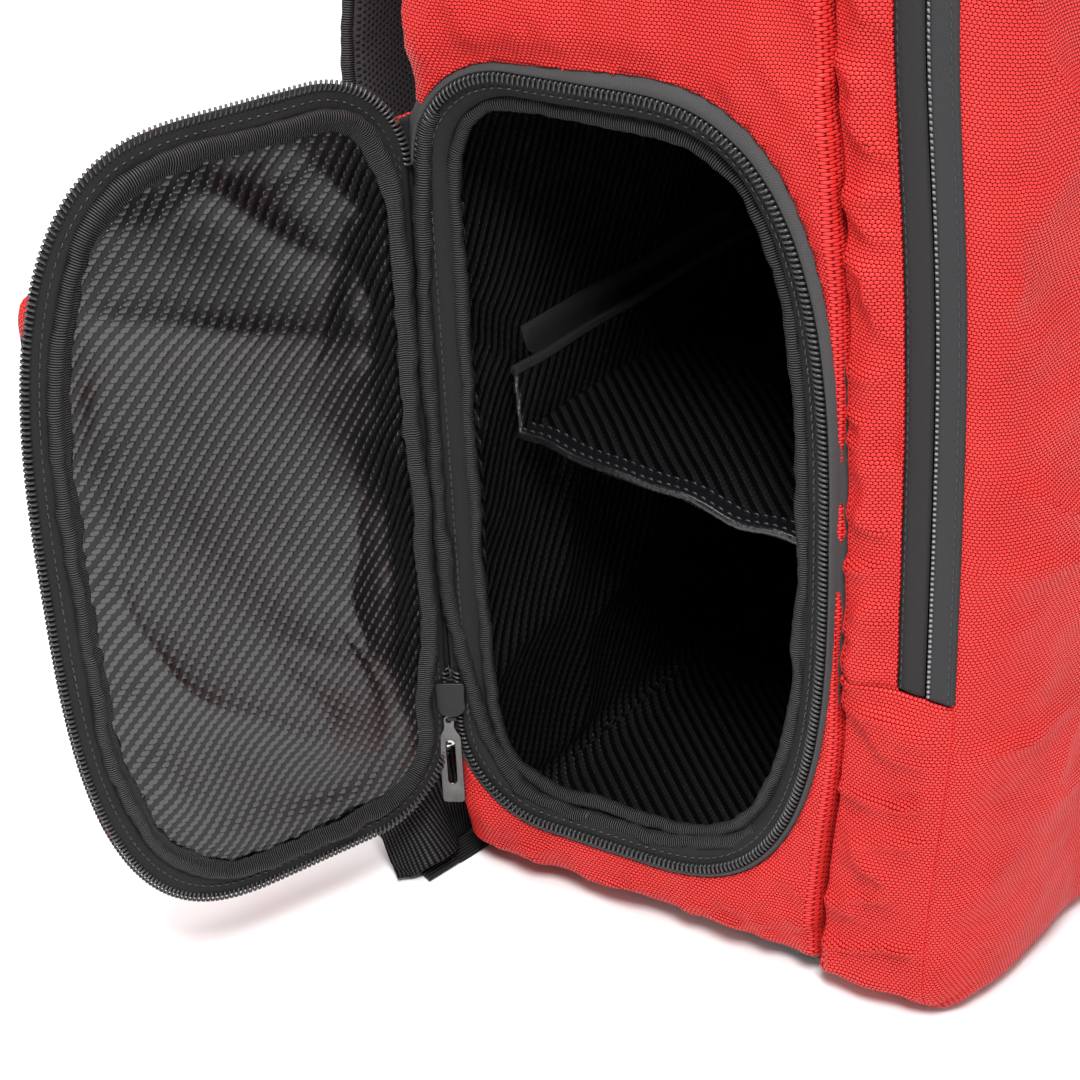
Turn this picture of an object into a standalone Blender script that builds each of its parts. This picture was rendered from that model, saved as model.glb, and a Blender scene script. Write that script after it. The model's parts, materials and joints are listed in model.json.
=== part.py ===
"""Ski boot bag: a backpack with a boot compartment that opens through a D-shaped door on each side,
a gear compartment behind a fold-down front flap, a drop-down divider shelf, shoulder straps and a belt.

Metres, +Z up.  The origin is the centre of the base on the floor, -Y is the front of the bag and
+Y the wearer's back.  The door on the -X side stands open, everything else is at rest.
"""

import math

import bmesh
import bpy
from mathutils import Matrix, Vector

# ---- driving dimensions -------------------------------------------------------------------------
HEIGHT = 0.550            # floor to the top of the bag
HINGE_X = 0.218           # the door hinges stand proud of the sides, because the back is wider
HINGE_Y = 0.160
TILT = math.radians(5.0)  # the opening's plane leans from the hinge in towards the front
SEAM_Y = -0.045           # seam between the boot section and the front section
BACK_Y = 0.165
FRONT_Y = -0.125          # face of the front section
ZIP_Y = -0.086            # the front zip runs round the front section at this depth
FRONT_TAPE_W = 0.0117     # each half of the front zip
FRONT_HALF_W = 0.199      # half width of the front section
FRONT_CORNER_R = 0.016
FRONT_TOP = HEIGHT - 0.002
FLAP_Z = 0.177            # seam that the front flap folds down on
BASE_T = 0.008            # moulded base under the fabric
WALL = 0.003              # padded outer fabric
SIDE_SEAM = 0.0125        # seam between a side panel and the rest, in from the side
LINING_T = 0.0012
GAP = 0.0004              # clearance left between touching pieces

OPEN_D = 0.200            # opening, from the hinge to the front edge
OPEN_LOW = 0.040
OPEN_HIGH = 0.424
CORNER_R = 0.050          # corners beside the hinge
FRONT_POWER = 2.85        # the front half of the opening is a superellipse
DOOR_OPEN = math.radians(112.0)

TAPE_W = 0.012            # each half of a zip, sewn tape and coil
SHELL_DROP = 0.004        # side fabric below the hinge plane, under the zip
ROLL_Z = (0.122, 0.372)   # the fabric roll on the hinge line, between its ends
HINGE_CLEAR = 0.005       # nothing on a door comes nearer than this to the hinge line

SLIDER_Z = 0.103          # boot zip slider, parked below the hinge
SLIDER_SIZE = (0.0125, 0.021, 0.0075)
SLIDER_PATH_R = 0.0505    # the slider runs round the lower corner beside the hinge at this radius
PULL_L = 0.044
PULL_W = 0.011
PULL_T = 0.0012

SHELF_Z = 0.224
STRAP_W = 0.062

# ---- scene helpers ------------------------------------------------------------------------------
for old in list(bpy.data.objects):
    bpy.data.objects.remove(old)

PARTS = bpy.data.collections.new("ski_boot_bag")
CUTTERS = bpy.data.collections.new("cutters")
bpy.context.scene.collection.children.link(PARTS)
bpy.context.scene.collection.children.link(CUTTERS)


def material(name, color, roughness, metallic=0.0):
    mat = bpy.data.materials.new(name)
    mat.use_nodes = True
    shader = mat.node_tree.nodes["Principled BSDF"]
    shader.inputs["Base Color"].default_value = (*color, 1.0)
    shader.inputs["Roughness"].default_value = roughness
    shader.inputs["Metallic"].default_value = metallic
    mat.diffuse_color = (*color, 1.0)
    return mat


RED = material("red_polyester", (0.75, 0.06, 0.05), 0.7)
BASE_GREY = material("base_rubber", (0.05, 0.05, 0.055), 0.6)
LINING = material("coated_lining", (0.012, 0.012, 0.014), 0.25)
TAPE = material("zip_tape", (0.03, 0.03, 0.033), 0.8)
BINDING = material("grosgrain_binding", (0.02, 0.02, 0.022), 0.85)
WEBBING = material("black_webbing", (0.018, 0.018, 0.02), 0.8)
PADDING = material("mesh_padding", (0.03, 0.03, 0.03), 0.9)
HOOK = material("hook_and_loop", (0.02, 0.02, 0.02), 0.95)
PLASTIC = material("black_acetal", (0.012, 0.012, 0.012), 0.35)
STEEL = material("satin_steel", (0.45, 0.44, 0.43), 0.35, 1.0)


def link(name, mesh, mat, matrix=None, parent=None):
    """One part of the bag from a finished mesh; matrix is its place in its parent or in the world."""
    mesh.materials.clear()
    if mat:
        mesh.materials.append(mat)
    obj = bpy.data.objects.new(name, mesh)
    PARTS.objects.link(obj)
    if parent:
        obj.parent = parent
    if matrix:
        obj.matrix_local = matrix
    return obj


def empty(name, matrix, parent=None):
    obj = bpy.data.objects.new(name, None)
    PARTS.objects.link(obj)
    obj.parent = parent
    obj.matrix_local = matrix
    return obj


def mesh_of(bm, name):
    mesh = bpy.data.meshes.new(name)
    bm.to_mesh(mesh)
    bm.free()
    return mesh


def baked(obj):
    """The object's modifiers made into one plain mesh; the object itself is removed."""
    bpy.context.view_layer.update()
    graph = bpy.context.evaluated_depsgraph_get()
    mesh = bpy.data.meshes.new_from_object(obj.evaluated_get(graph))
    mesh.transform(obj.matrix_world)
    bpy.data.objects.remove(obj)
    bm = bmesh.new()
    bm.from_mesh(mesh)
    bmesh.ops.remove_doubles(bm, verts=bm.verts, dist=0.00001)
    bm.to_mesh(mesh)
    bm.free()
    return mesh


def outline_mesh(loops, z_low, z_high):
    """Flat outlines, the first with holes cut by the others, extruded from z_low to z_high."""
    curve = bpy.data.curves.new("outline", "CURVE")
    curve.dimensions = "2D"
    curve.fill_mode = "BOTH"
    curve.extrude = (z_high - z_low) / 2
    for loop in loops:
        spline = curve.splines.new("POLY")
        spline.points.add(len(loop) - 1)
        for point, (x, y) in zip(spline.points, loop):
            point.co = (x, y, 0.0, 1.0)
        spline.use_cyclic_u = True
    obj = bpy.data.objects.new("outline", curve)
    bpy.context.scene.collection.objects.link(obj)
    obj.location.z = (z_low + z_high) / 2
    return baked(obj)


def tube_mesh(points, radius, cyclic=False):
    """A round tube along a smooth list of points."""
    curve = bpy.data.curves.new("tube", "CURVE")
    curve.dimensions = "3D"
    curve.bevel_depth = radius
    curve.bevel_resolution = 1
    curve.use_fill_caps = True
    spline = curve.splines.new("POLY")
    spline.points.add(len(points) - 1)
    for point, place in zip(spline.points, points):
        point.co = (*place, 1.0)
    spline.use_cyclic_u = cyclic
    obj = bpy.data.objects.new("tube", curve)
    bpy.context.scene.collection.objects.link(obj)
    return baked(obj)


def block_mesh(low, high, bevel=0.0, segments=2, taper=None):
    """A box between two corners, its edges rounded; taper moves each corner before rounding."""
    bm = bmesh.new()
    bmesh.ops.create_cube(bm, size=1.0)
    for vert in bm.verts:
        place = [low[i] if vert.co[i] < 0 else high[i] for i in range(3)]
        vert.co = taper(place) if taper else place
    if bevel:
        bmesh.ops.bevel(bm, geom=bm.edges[:], offset=bevel, segments=segments, profile=0.5,
                        affect="EDGES", clamp_overlap=True)
    bmesh.ops.remove_doubles(bm, verts=bm.verts, dist=0.00001)
    return mesh_of(bm, "block")


def cutter(mesh, matrix=None):
    obj = bpy.data.objects.new("cutter", mesh)
    CUTTERS.objects.link(obj)
    obj.hide_render = True
    obj.display_type = "WIRE"
    if matrix:
        obj.matrix_world = matrix
    return obj


def cut(mesh, cutters, operation="DIFFERENCE"):
    """The mesh with every cutter taken away, or added, as one new mesh."""
    obj = bpy.data.objects.new("work", mesh)
    bpy.context.scene.collection.objects.link(obj)
    for tool in cutters:
        boolean = obj.modifiers.new("cut", "BOOLEAN")
        boolean.operation = operation
        boolean.solver = "EXACT"
        boolean.object = tool
    return baked(obj)


def ribbon_mesh(path, across, width, thickness):
    """A flat strap: an open strip along the path, width wide in the across direction, solidified."""
    bm = bmesh.new()
    rows = []
    for place, side in zip(path, across):
        side = Vector(side).normalized() * (width / 2)
        rows.append((bm.verts.new(Vector(place) - side), bm.verts.new(Vector(place) + side)))
    for (a, b), (c, d) in zip(rows, rows[1:]):
        bm.faces.new((a, b, d, c))
    bmesh.ops.recalc_face_normals(bm, faces=bm.faces[:])
    obj = bpy.data.objects.new("ribbon", mesh_of(bm, "ribbon"))
    bpy.context.scene.collection.objects.link(obj)
    solid = obj.modifiers.new("thickness", "SOLIDIFY")
    solid.thickness = thickness
    solid.offset = 0.0
    solid.use_even_offset = True
    return baked(obj)


def smooth_path(points, per_span=4):
    """Points on a smooth curve through the given ones (Catmull-Rom)."""
    pts = [Vector(p) for p in points]
    pts = [2 * pts[0] - pts[1]] + pts + [2 * pts[-1] - pts[-2]]
    out = []
    for i in range(1, len(pts) - 2):
        p0, p1, p2, p3 = pts[i - 1:i + 3]
        for k in range(per_span):
            t = k / per_span
            out.append(0.5 * (2 * p1 + (p2 - p0) * t + (2 * p0 - 5 * p1 + 4 * p2 - p3) * t ** 2
                              + (3 * p1 - p0 - 3 * p2 + p3) * t ** 3))
    out.append(pts[-2])
    return out


# ---- the two sides ------------------------------------------------------------------------------
# Pieces round an opening are drawn in its own plane: X runs from the hinge to the front edge, Y is
# world up, Z points out of the bag on the left (-X) side and into it on the right.
SIDES = ("left", "right")
SIGN = {"left": -1.0, "right": 1.0}


def side_frame(side):
    sign = SIGN[side]
    along = Vector((-sign * math.sin(TILT), -math.cos(TILT), 0.0))
    up = Vector((0.0, 0.0, 1.0))
    out = along.cross(up)
    frame = Matrix((along, up, out)).transposed().to_4x4()
    frame.translation = (sign * HINGE_X, HINGE_Y, 0.0)
    return frame


def sided(mesh, side):
    """The mesh as drawn for the left side, or its mirror image for the right."""
    copy = mesh.copy()
    if side == "right":
        copy.transform(Matrix.Diagonal((1.0, 1.0, -1.0, 1.0)))
        copy.flip_normals()
    return copy


def opening_outline(offset):
    """The opening's outline at the coil, moved outwards by offset, as (along, up) points."""
    mid_z = (OPEN_LOW + OPEN_HIGH) / 2
    half_h = (OPEN_HIGH - OPEN_LOW) / 2
    half_d = OPEN_D / 2
    points = []
    arc_steps = 6
    for i in range(arc_steps + 1):
        a = math.pi + math.pi / 2 * i / arc_steps
        points.append((CORNER_R + CORNER_R * math.cos(a), OPEN_LOW + CORNER_R + CORNER_R * math.sin(a)))
    front_steps = 22
    for i in range(1, front_steps):
        a = -math.pi / 2 + math.pi * i / front_steps
        c, s = math.cos(a), math.sin(a)
        points.append((half_d + half_d * abs(c) ** (2 / FRONT_POWER),
                       mid_z + half_h * math.copysign(abs(s) ** (2 / FRONT_POWER), s)))
    for i in range(arc_steps + 1):
        a = math.pi / 2 + math.pi / 2 * i / arc_steps
        points.append((CORNER_R + CORNER_R * math.cos(a), OPEN_HIGH - CORNER_R + CORNER_R * math.sin(a)))
    moved = []
    for i, (x, y) in enumerate(points):
        (ax, ay), (bx, by) = points[i - 1], points[(i + 1) % len(points)]
        tangent = Vector((bx - ax, by - ay)).normalized()
        moved.append((x + tangent.y * offset, y - tangent.x * offset))
    return moved


def slider_mesh(size):
    """A zip slider's body, rounded, with its centre at the origin and its underside at Z = 0."""
    w, l, t = size
    return block_mesh((-w / 2, -l / 2, 0.0), (w / 2, l / 2, t), bevel=0.0022, segments=2)


def pull_mesh(length, width):
    """A flat pull tab with a long slot, hanging down -Y from its pivot at the origin."""
    def stadium(x_half, y_low, y_high):
        loop = []
        for i in range(7):
            a = math.pi + math.pi * i / 6
            loop.append((x_half * math.cos(a), y_low + x_half * (1 + math.sin(a))))
        for i in range(7):
            a = math.pi * i / 6
            loop.append((x_half * math.cos(a), y_high - x_half * (1 - math.sin(a))))
        return loop
    rim = 0.0032
    outer = stadium(width / 2, -length, 0.0)
    slot = stadium(width / 2 - rim, -length + rim, -length * 0.28)
    return outline_mesh([outer, slot], -PULL_T / 2, PULL_T / 2)


# ---- the bag ------------------------------------------------------------------------------------
def boot_half_width(y, inset):
    """Half width of the boot section at depth y, inset from its outside."""
    outer = HINGE_X - SHELL_DROP - (HINGE_Y - y) * math.tan(TILT)
    return outer - inset


def boot_box(inset, low_z, high_z, bevel):
    def taper(place):
        x, y, z = place
        return (math.copysign(boot_half_width(y, inset), x), y, z)
    return block_mesh((-1, SEAM_Y + inset, low_z), (1, BACK_Y - inset, high_z), bevel, 3, taper)


def side_zone(sign, seam):
    """The bag beyond a side panel's seam: towards the side that sign gives, from the seam that lies
    this far in from that side, or, if negative, from the seam of the other side."""
    def taper(place):
        x, y, z = place
        if x * sign > 0:
            return (x, y, z)
        return (sign * math.copysign(boot_half_width(y, abs(seam)), seam), y, z)
    return block_mesh((-0.4, SEAM_Y - 0.1, -0.1), (0.4, BACK_Y + 0.1, HEIGHT + 0.1), taper=taper)


def mouth_cutters(offset, low, high):
    tools = []
    for side in SIDES:
        plug = sided(outline_mesh([opening_outline(offset)], low, high), side)
        tools.append(cutter(plug, side_frame(side)))
    return tools


def make_boot_section():
    base = block_mesh((-0.188, FRONT_Y + 0.008, 0.0), (0.188, BACK_Y - 0.012, BASE_T), 0.0022, 1)
    link("base_tray", base, BASE_GREY)

    bottom = BASE_T + GAP
    hole = -TAPE_W + 0.001
    shell = boot_box(0.0, bottom, HEIGHT, 0.012)
    cavity = boot_box(WALL, bottom + WALL, HEIGHT - WALL, 0.010)
    walls = cut(shell, [cutter(cavity)] + mouth_cutters(hole, -0.040, 0.010))
    sides = [cutter(side_zone(sign, SIDE_SEAM)) for sign in SIGN.values()]
    link("boot_shell", cut(walls.copy(), sides), RED)
    for side in SIDES:
        rest = side_zone(-SIGN[side], -SIDE_SEAM + GAP)
        link(side + "_side_panel", cut(walls.copy(), [cutter(rest)]), RED)

    inset = WALL + GAP
    lining = boot_box(inset, bottom + inset, HEIGHT - inset, 0.0095)
    inset += LINING_T
    hollow = boot_box(inset, bottom + inset, HEIGHT - inset, 0.009)
    link("boot_lining", cut(lining, [cutter(hollow)] + mouth_cutters(hole, -0.040, 0.010)), LINING)


def front_box(inset):
    low = (-FRONT_HALF_W + inset, FRONT_Y + inset, BASE_T + GAP + inset)
    high = (FRONT_HALF_W - inset, SEAM_Y - 0.0012 - inset, FRONT_TOP - inset)
    return block_mesh(low, high, FRONT_CORNER_R - inset, 3)


def make_front_section():
    """The front compartment: a fixed tray and gusset, and the flap cut from the same form."""
    flap_zone = block_mesh((-0.3, -0.3, FLAP_Z - 0.0005), (0.3, ZIP_Y - 0.0005, 0.7))
    fixed = cut(front_box(0.0), [cutter(front_box(WALL)), cutter(flap_zone)])
    link("front_compartment", fixed, RED)

    keep = block_mesh((-0.3, -0.3, FLAP_Z + 0.0005), (0.3, ZIP_Y - 0.0015, 0.7))
    flap = cut(cut(front_box(0.0), [cutter(front_box(WALL))]), [cutter(keep)], "INTERSECT")
    hinge = empty("front_flap_hinge", Matrix.Translation((0.0, FRONT_Y, FLAP_Z)))
    flap.transform(Matrix.Translation((0.0, -FRONT_Y, -FLAP_Z)))
    link("front_flap", flap, RED, parent=hinge)

    for name, y_low, parent in (("front_zip_tape", ZIP_Y + 0.0008, None),
                                ("flap_zip_tape", ZIP_Y - 0.0018 - FRONT_TAPE_W, hinge)):
        tape = zip_arch(y_low, y_low + FRONT_TAPE_W)
        if parent:
            tape.transform(Matrix.Translation((0.0, -FRONT_Y, -FLAP_Z)))
        link(name, tape, TAPE, parent=parent)


def zip_arch(y_low, y_high):
    """One half of the front zip: up one side of the front section, over its top and down."""
    def arch(x, top, radius, foot):
        loop = [(-x, foot)]
        for i in range(7):
            a = math.pi - math.pi / 2 * i / 6
            loop.append((-x + radius + radius * math.cos(a), top - radius + radius * math.sin(a)))
        for i in range(7):
            a = math.pi / 2 - math.pi / 2 * i / 6
            loop.append((x - radius + radius * math.cos(a), top - radius + radius * math.sin(a)))
        loop.append((x, foot))
        return loop
    skin = 0.0004
    thick = 0.0016
    foot = FLAP_Z + 0.003
    outer = arch(FRONT_HALF_W + skin + thick, FRONT_TOP + skin + thick, FRONT_CORNER_R + thick, foot)
    inner = arch(FRONT_HALF_W + skin, FRONT_TOP + skin, FRONT_CORNER_R, foot)
    mesh = outline_mesh([outer + inner[::-1]], y_low, y_high)
    mesh.transform(Matrix(((1, 0, 0, 0), (0, 0, 1, 0), (0, 1, 0, 0), (0, 0, 0, 1))))
    mesh.flip_normals()
    return mesh


def make_front_pocket():
    low = (-0.082, FRONT_Y - 0.016, 0.016)
    high = (0.082, FRONT_Y - GAP, 0.158)
    link("front_lower_pocket", block_mesh(low, high, 0.007, 2), RED)


def make_front_sliders():
    """Two sliders on the top of the front zip, meeting at its middle, each with a pull tab."""
    top = FRONT_TOP + 0.0024
    for side in SIDES:
        sign = SIGN[side]
        body = slider_mesh((0.012, 0.020, 0.0065))
        spot = Matrix.Translation((sign * 0.0115, ZIP_Y + 0.0075, top)) @ Matrix.Rotation(math.pi / 2, 4, "Z")
        slider = link(side + "_front_slider", body, PLASTIC, spot)
        pull = pull_mesh(PULL_L * 0.8, PULL_W * 0.9)
        turn = Matrix.Rotation(sign * math.pi / 2, 4, "Z")
        spot = Matrix.Translation((sign * 0.0225, ZIP_Y + 0.0075, top + 0.0012)) @ turn
        link(side + "_front_pull", pull, STEEL, spot)


def make_mouth(side):
    """Bag half of one boot zip, the binding inside the opening and the fabric roll at the hinge."""
    frame = side_frame(side)
    ring = outline_mesh([opening_outline(0.0), opening_outline(-TAPE_W)], -0.0036, -0.0004)
    roll_room = block_mesh((-0.01, ROLL_Z[0] - 0.002, -0.02), (0.0040, ROLL_Z[1] + 0.002, 0.02))
    link(side + "_mouth_zip", sided(cut(ring, [cutter(roll_room)]), side), TAPE, frame)
    path = [(x, z, -0.0100) for x, z in opening_outline(-0.0170)]
    link(side + "_mouth_binding", sided(tube_mesh(path, 0.0042, True), side), BINDING, frame)
    path = [(0.0, z, 0.0) for z in (ROLL_Z[0], sum(ROLL_Z) / 2, ROLL_Z[1])]
    link(side + "_hinge_roll", sided(tube_mesh(path, 0.0034), side), BINDING, frame)


def door_trim():
    """Keeps a door clear of its hinge line and leaves room for the slider below it and on its way
    round the corner."""
    edge = block_mesh((-0.05, 0.0, -0.05), (HINGE_CLEAR, 0.5, 0.08))
    notch = block_mesh((-0.05, 0.0, -0.05), (0.0265, SLIDER_Z + 0.017, 0.08))
    inner_r = SLIDER_PATH_R - SLIDER_SIZE[0] / 2 - 0.0009
    turns = [math.radians(180 + 110 * i / 12) for i in range(13)]
    centre = CORNER_R, OPEN_LOW + CORNER_R
    near = [(centre[0] + inner_r * math.cos(a), centre[1] + inner_r * math.sin(a)) for a in turns]
    far = [(centre[0] + 0.08 * math.cos(a), centre[1] + 0.08 * math.sin(a)) for a in turns]
    corner = outline_mesh([near + far[::-1]], -0.05, 0.08)
    return [cutter(edge), cutter(notch), cutter(corner)]


def make_door(side):
    """One D-shaped door: padded panel, lining, binding, its half of the zip and an outer pocket."""
    turn = -DOOR_OPEN if side == "left" else 0.0
    hinge = empty(side + "_door_hinge", side_frame(side) @ Matrix.Rotation(turn, 4, "Y"))
    slabs = (("door_zip", [opening_outline(-0.001), opening_outline(-0.013)], 0.0005, 0.0022, TAPE),
             ("door_panel", [opening_outline(-0.003)], 0.0026, 0.0100, RED),
             ("door_lining", [opening_outline(-0.0215)], 0.0010, 0.0022, LINING))
    for name, loops, low, high, mat in slabs:
        mesh = cut(outline_mesh(loops, low, high), door_trim())
        link(f"{side}_{name}", sided(mesh, side), mat, parent=hinge)

    path = [(x, z, -0.0006) for x, z in opening_outline(-0.0172)]
    binding = cut(tube_mesh(path, 0.0028, True), door_trim())
    link(side + "_door_binding", sided(binding, side), BINDING, parent=hinge)

    pocket = block_mesh((0.030, 0.075, 0.0104), (0.176, 0.352, 0.040), 0.011, 3)
    link(side + "_door_pocket", sided(pocket, side), RED, parent=hinge)
    tape = block_mesh((0.1764, 0.095, 0.0150), (0.1778, 0.335, 0.0350))
    link(side + "_pocket_zip", sided(tape, side), TAPE, parent=hinge)

    face = Matrix.Translation((0.1782, 0.262, 0.0250)) @ Matrix.Rotation(math.pi / 2, 4, "Y")
    body = slider_mesh((0.0115, 0.018, 0.0065))
    body.transform(face)
    link(side + "_pocket_slider", sided(body, side), PLASTIC, parent=hinge)
    pull = pull_mesh(PULL_L, PULL_W * 0.85)
    pull.transform(Matrix.Translation((0.1818, 0.2515, 0.0250)) @ Matrix.Rotation(math.pi / 2, 4, "Y"))
    link(side + "_pocket_pull", sided(pull, side), STEEL, parent=hinge)


def make_boot_zip_slider(side):
    """The boot zip's slider, parked at the lower end of the hinge, and its slotted pull tab."""
    frame = side_frame(side)
    pivot = Matrix.Translation((CORNER_R, OPEN_LOW + CORNER_R, 0.0))
    rise = SLIDER_Z - OPEN_LOW - CORNER_R
    body = slider_mesh(SLIDER_SIZE)
    body.transform(Matrix.Translation((-SLIDER_PATH_R, rise, 0.0012)))
    link(side + "_zip_slider", sided(body, side), PLASTIC, frame @ pivot)
    pull = pull_mesh(PULL_L + 0.006, PULL_W)
    top = rise - SLIDER_SIZE[1] / 2 - 0.0014
    pull.transform(Matrix.Translation((-SLIDER_PATH_R, top, 0.0050)))
    link(side + "_zip_pull", sided(pull, side), STEEL, frame @ pivot)


# ---- inside the boot compartment ----------------------------------------------------------------
def make_divider():
    """The shelf between the boots: it folds down on its front edge, and its back edge turns up
    into a flange that sticks to a hook-and-loop strip on the back wall."""
    front_y = SEAM_Y + 0.0065
    back_y = BACK_Y - 0.0095
    hinge = empty("divider_hinge", Matrix.Translation((0.0, front_y, SHELF_Z)))
    half_w = 0.168
    depth = back_y - front_y - 0.003
    panel = block_mesh((-half_w, 0.0012, -0.0022), (half_w, depth, 0.0022), 0.0008, 1)
    link("divider_shelf", panel, LINING, parent=hinge)
    flange = block_mesh((-half_w, depth - 0.0026, 0.0026), (half_w, depth, 0.034), 0.0006, 1)
    link("divider_flange", flange, LINING, parent=hinge)
    wall_y = BACK_Y - WALL - GAP - LINING_T
    strip = block_mesh((-0.150, wall_y - 0.0026, 0.240), (0.150, wall_y - GAP, 0.272), 0.0006, 1)
    link("hook_strip", strip, HOOK)


# ---- what the wearer touches --------------------------------------------------------------------
def make_back_padding():
    for side in SIDES:
        x = sorted((SIGN[side] * 0.016, SIGN[side] * 0.128))
        low = (x[0], BACK_Y + GAP, 0.205)
        high = (x[1], BACK_Y + 0.016, 0.470)
        link(side + "_back_pad", block_mesh(low, high, 0.006, 2), PADDING)
    lumbar = block_mesh((-0.128, BACK_Y + GAP, 0.075), (0.128, BACK_Y + 0.018, 0.190), 0.007, 2)
    link("lumbar_pad", lumbar, PADDING)


def make_shoulder_strap(side):
    sign = SIGN[side]
    route = ((0.074, BACK_Y + 0.008, 0.512), (0.084, 0.200, 0.520), (0.104, 0.238, 0.480),
             (0.124, 0.250, 0.410), (0.136, 0.241, 0.330), (0.142, 0.222, 0.250), (0.146, 0.206, 0.200))
    path = smooth_path([(sign * x, y, z) for x, y, z in route], 3)
    across = [(1.0, 0.0, 0.0)] * len(path)
    link(side + "_shoulder_strap", ribbon_mesh(path, across, STRAP_W, 0.011), PADDING)
    web = ((0.148, 0.199, 0.192), (0.153, 0.196, 0.165), (0.160, 0.189, 0.120), (0.168, 0.180, 0.086))
    path = smooth_path([(sign * x, y, z) for x, y, z in web], 3)
    across = [(1.0, 0.0, 0.12 * sign)] * len(path)
    link(side + "_strap_webbing", ribbon_mesh(path, across, 0.025, 0.0018), WEBBING)
    tab_low = (sign * 0.168 - 0.020, BACK_Y + GAP, 0.060)
    tab_high = (sign * 0.168 + 0.020, BACK_Y + 0.0105, 0.082)
    link(side + "_webbing_anchor", block_mesh(tab_low, tab_high, 0.002, 1), RED)


def make_ladder_lock(side):
    """The strap adjuster: a flat three-bar plate lying on the webbing below the padded strap."""
    sign = SIGN[side]
    frame_half = (0.018, 0.012)
    outer = [(-frame_half[0], -frame_half[1]), (frame_half[0], -frame_half[1]),
             (frame_half[0], frame_half[1]), (-frame_half[0], frame_half[1])]
    slots = []
    for y in (-0.0052, 0.0052):
        slots.append([(-0.0135, y - 0.0027), (0.0135, y - 0.0027), (0.0135, y + 0.0027), (-0.0135, y + 0.0027)])
    plate = outline_mesh([outer] + slots, 0.0, 0.0042)
    top = Vector((sign * 0.1530, 0.1960, 0.1650))
    foot = Vector((sign * 0.1600, 0.1890, 0.1200))
    up = (top - foot).normalized()
    out = Vector((0.0, 1.0, 0.0))
    out = (out - up * out.dot(up)).normalized()
    across = up.cross(out)
    frame = Matrix((across, up, out)).transposed().to_4x4()
    frame.translation = top + (foot - top) * 0.25 + out * 0.0032
    link(side + "_ladder_lock", plate, PLASTIC, frame)


def make_belt(side):
    """The waist belt: a wide webbing that stands on edge where it leaves the bag's back corner,
    and its loose hemmed tail, which lies on the floor."""
    sign = SIGN[side]
    route = ((0.120, 0.1715, 0.031), (0.180, 0.1725, 0.031), (0.2120, 0.1765, 0.031),
             (0.230, 0.1870, 0.0235), (0.250, 0.2000, 0.0130), (0.272, 0.2080, 0.0085))
    lean = ((0.0, 0.0, 1.0), (0.0, 0.0, 1.0), (0.0, 0.10, 1.0), (-0.25, 0.62, 0.50), (-0.3, 1.0, 0.08), (-0.3, 1.0, 0.0))
    path = smooth_path([(sign * x, y, z) for x, y, z in route], 3)
    across = smooth_path([(sign * x, y, z) for x, y, z in lean], 3)
    belt = ribbon_mesh(path, across, 0.052, 0.0024)
    link(side + "_waist_belt", belt, WEBBING)
    tail = [(0.240, 0.166), (0.219, 0.227), (0.152, 0.206), (0.168, 0.156)]
    loop = [(sign * x, y) for x, y in tail]
    link(side + "_belt_tail", outline_mesh([loop], 0.0, 0.0030), WEBBING)


def make_handle():
    """The grab handle: a rolled webbing arch that tips about its two sewn feet."""
    hinge = empty("handle_hinge", Matrix.Translation((0.0, 0.100, HEIGHT + 0.0062)))
    route = ((-0.070, 0.0, 0.000), (-0.064, 0.0, 0.013), (-0.034, 0.0, 0.025), (0.0, 0.0, 0.028),
             (0.034, 0.0, 0.025), (0.064, 0.0, 0.013), (0.070, 0.0, 0.000))
    link("grab_handle", tube_mesh(smooth_path(route, 3), 0.0055), WEBBING, parent=hinge)


def make_all():
    make_boot_section()
    make_front_section()
    make_front_pocket()
    make_front_sliders()
    make_divider()
    make_back_padding()
    make_handle()
    for side in SIDES:
        make_mouth(side)
        make_door(side)
        make_boot_zip_slider(side)
        make_shoulder_strap(side)
        make_ladder_lock(side)
        make_belt(side)


make_all()
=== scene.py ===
import contextlib
import json
import math

import bmesh
import bpy
import numpy as np
from mathutils import Matrix, Vector


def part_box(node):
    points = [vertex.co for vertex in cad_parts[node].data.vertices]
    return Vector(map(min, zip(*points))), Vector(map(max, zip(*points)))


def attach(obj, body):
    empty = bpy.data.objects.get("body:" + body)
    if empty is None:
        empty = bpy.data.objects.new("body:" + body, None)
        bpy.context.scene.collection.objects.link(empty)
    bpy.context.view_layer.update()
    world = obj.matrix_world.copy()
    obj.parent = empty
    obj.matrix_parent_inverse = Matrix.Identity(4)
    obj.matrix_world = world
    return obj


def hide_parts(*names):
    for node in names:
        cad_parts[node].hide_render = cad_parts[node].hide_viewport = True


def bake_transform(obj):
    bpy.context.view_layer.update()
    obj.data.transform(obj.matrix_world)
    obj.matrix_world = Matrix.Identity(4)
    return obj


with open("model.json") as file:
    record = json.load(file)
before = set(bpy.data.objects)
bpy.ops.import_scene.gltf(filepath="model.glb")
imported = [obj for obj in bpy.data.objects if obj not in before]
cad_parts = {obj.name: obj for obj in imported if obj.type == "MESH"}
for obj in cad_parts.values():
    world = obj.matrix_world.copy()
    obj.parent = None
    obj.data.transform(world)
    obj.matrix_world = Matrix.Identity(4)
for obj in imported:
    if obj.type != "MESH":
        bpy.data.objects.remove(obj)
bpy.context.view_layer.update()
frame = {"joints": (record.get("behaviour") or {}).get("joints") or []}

JOINTS = {joint["name"]: joint for joint in frame["joints"]}
SIDES = {"left": -1.0, "right": 1.0}
MM = 0.001
CLOTH = 0.0014                  # thickness of the red fabric, of a zip's tape and of the lining
TAPE_CLOTH = 0.0006
LINING_CLOTH = 0.0008

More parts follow.
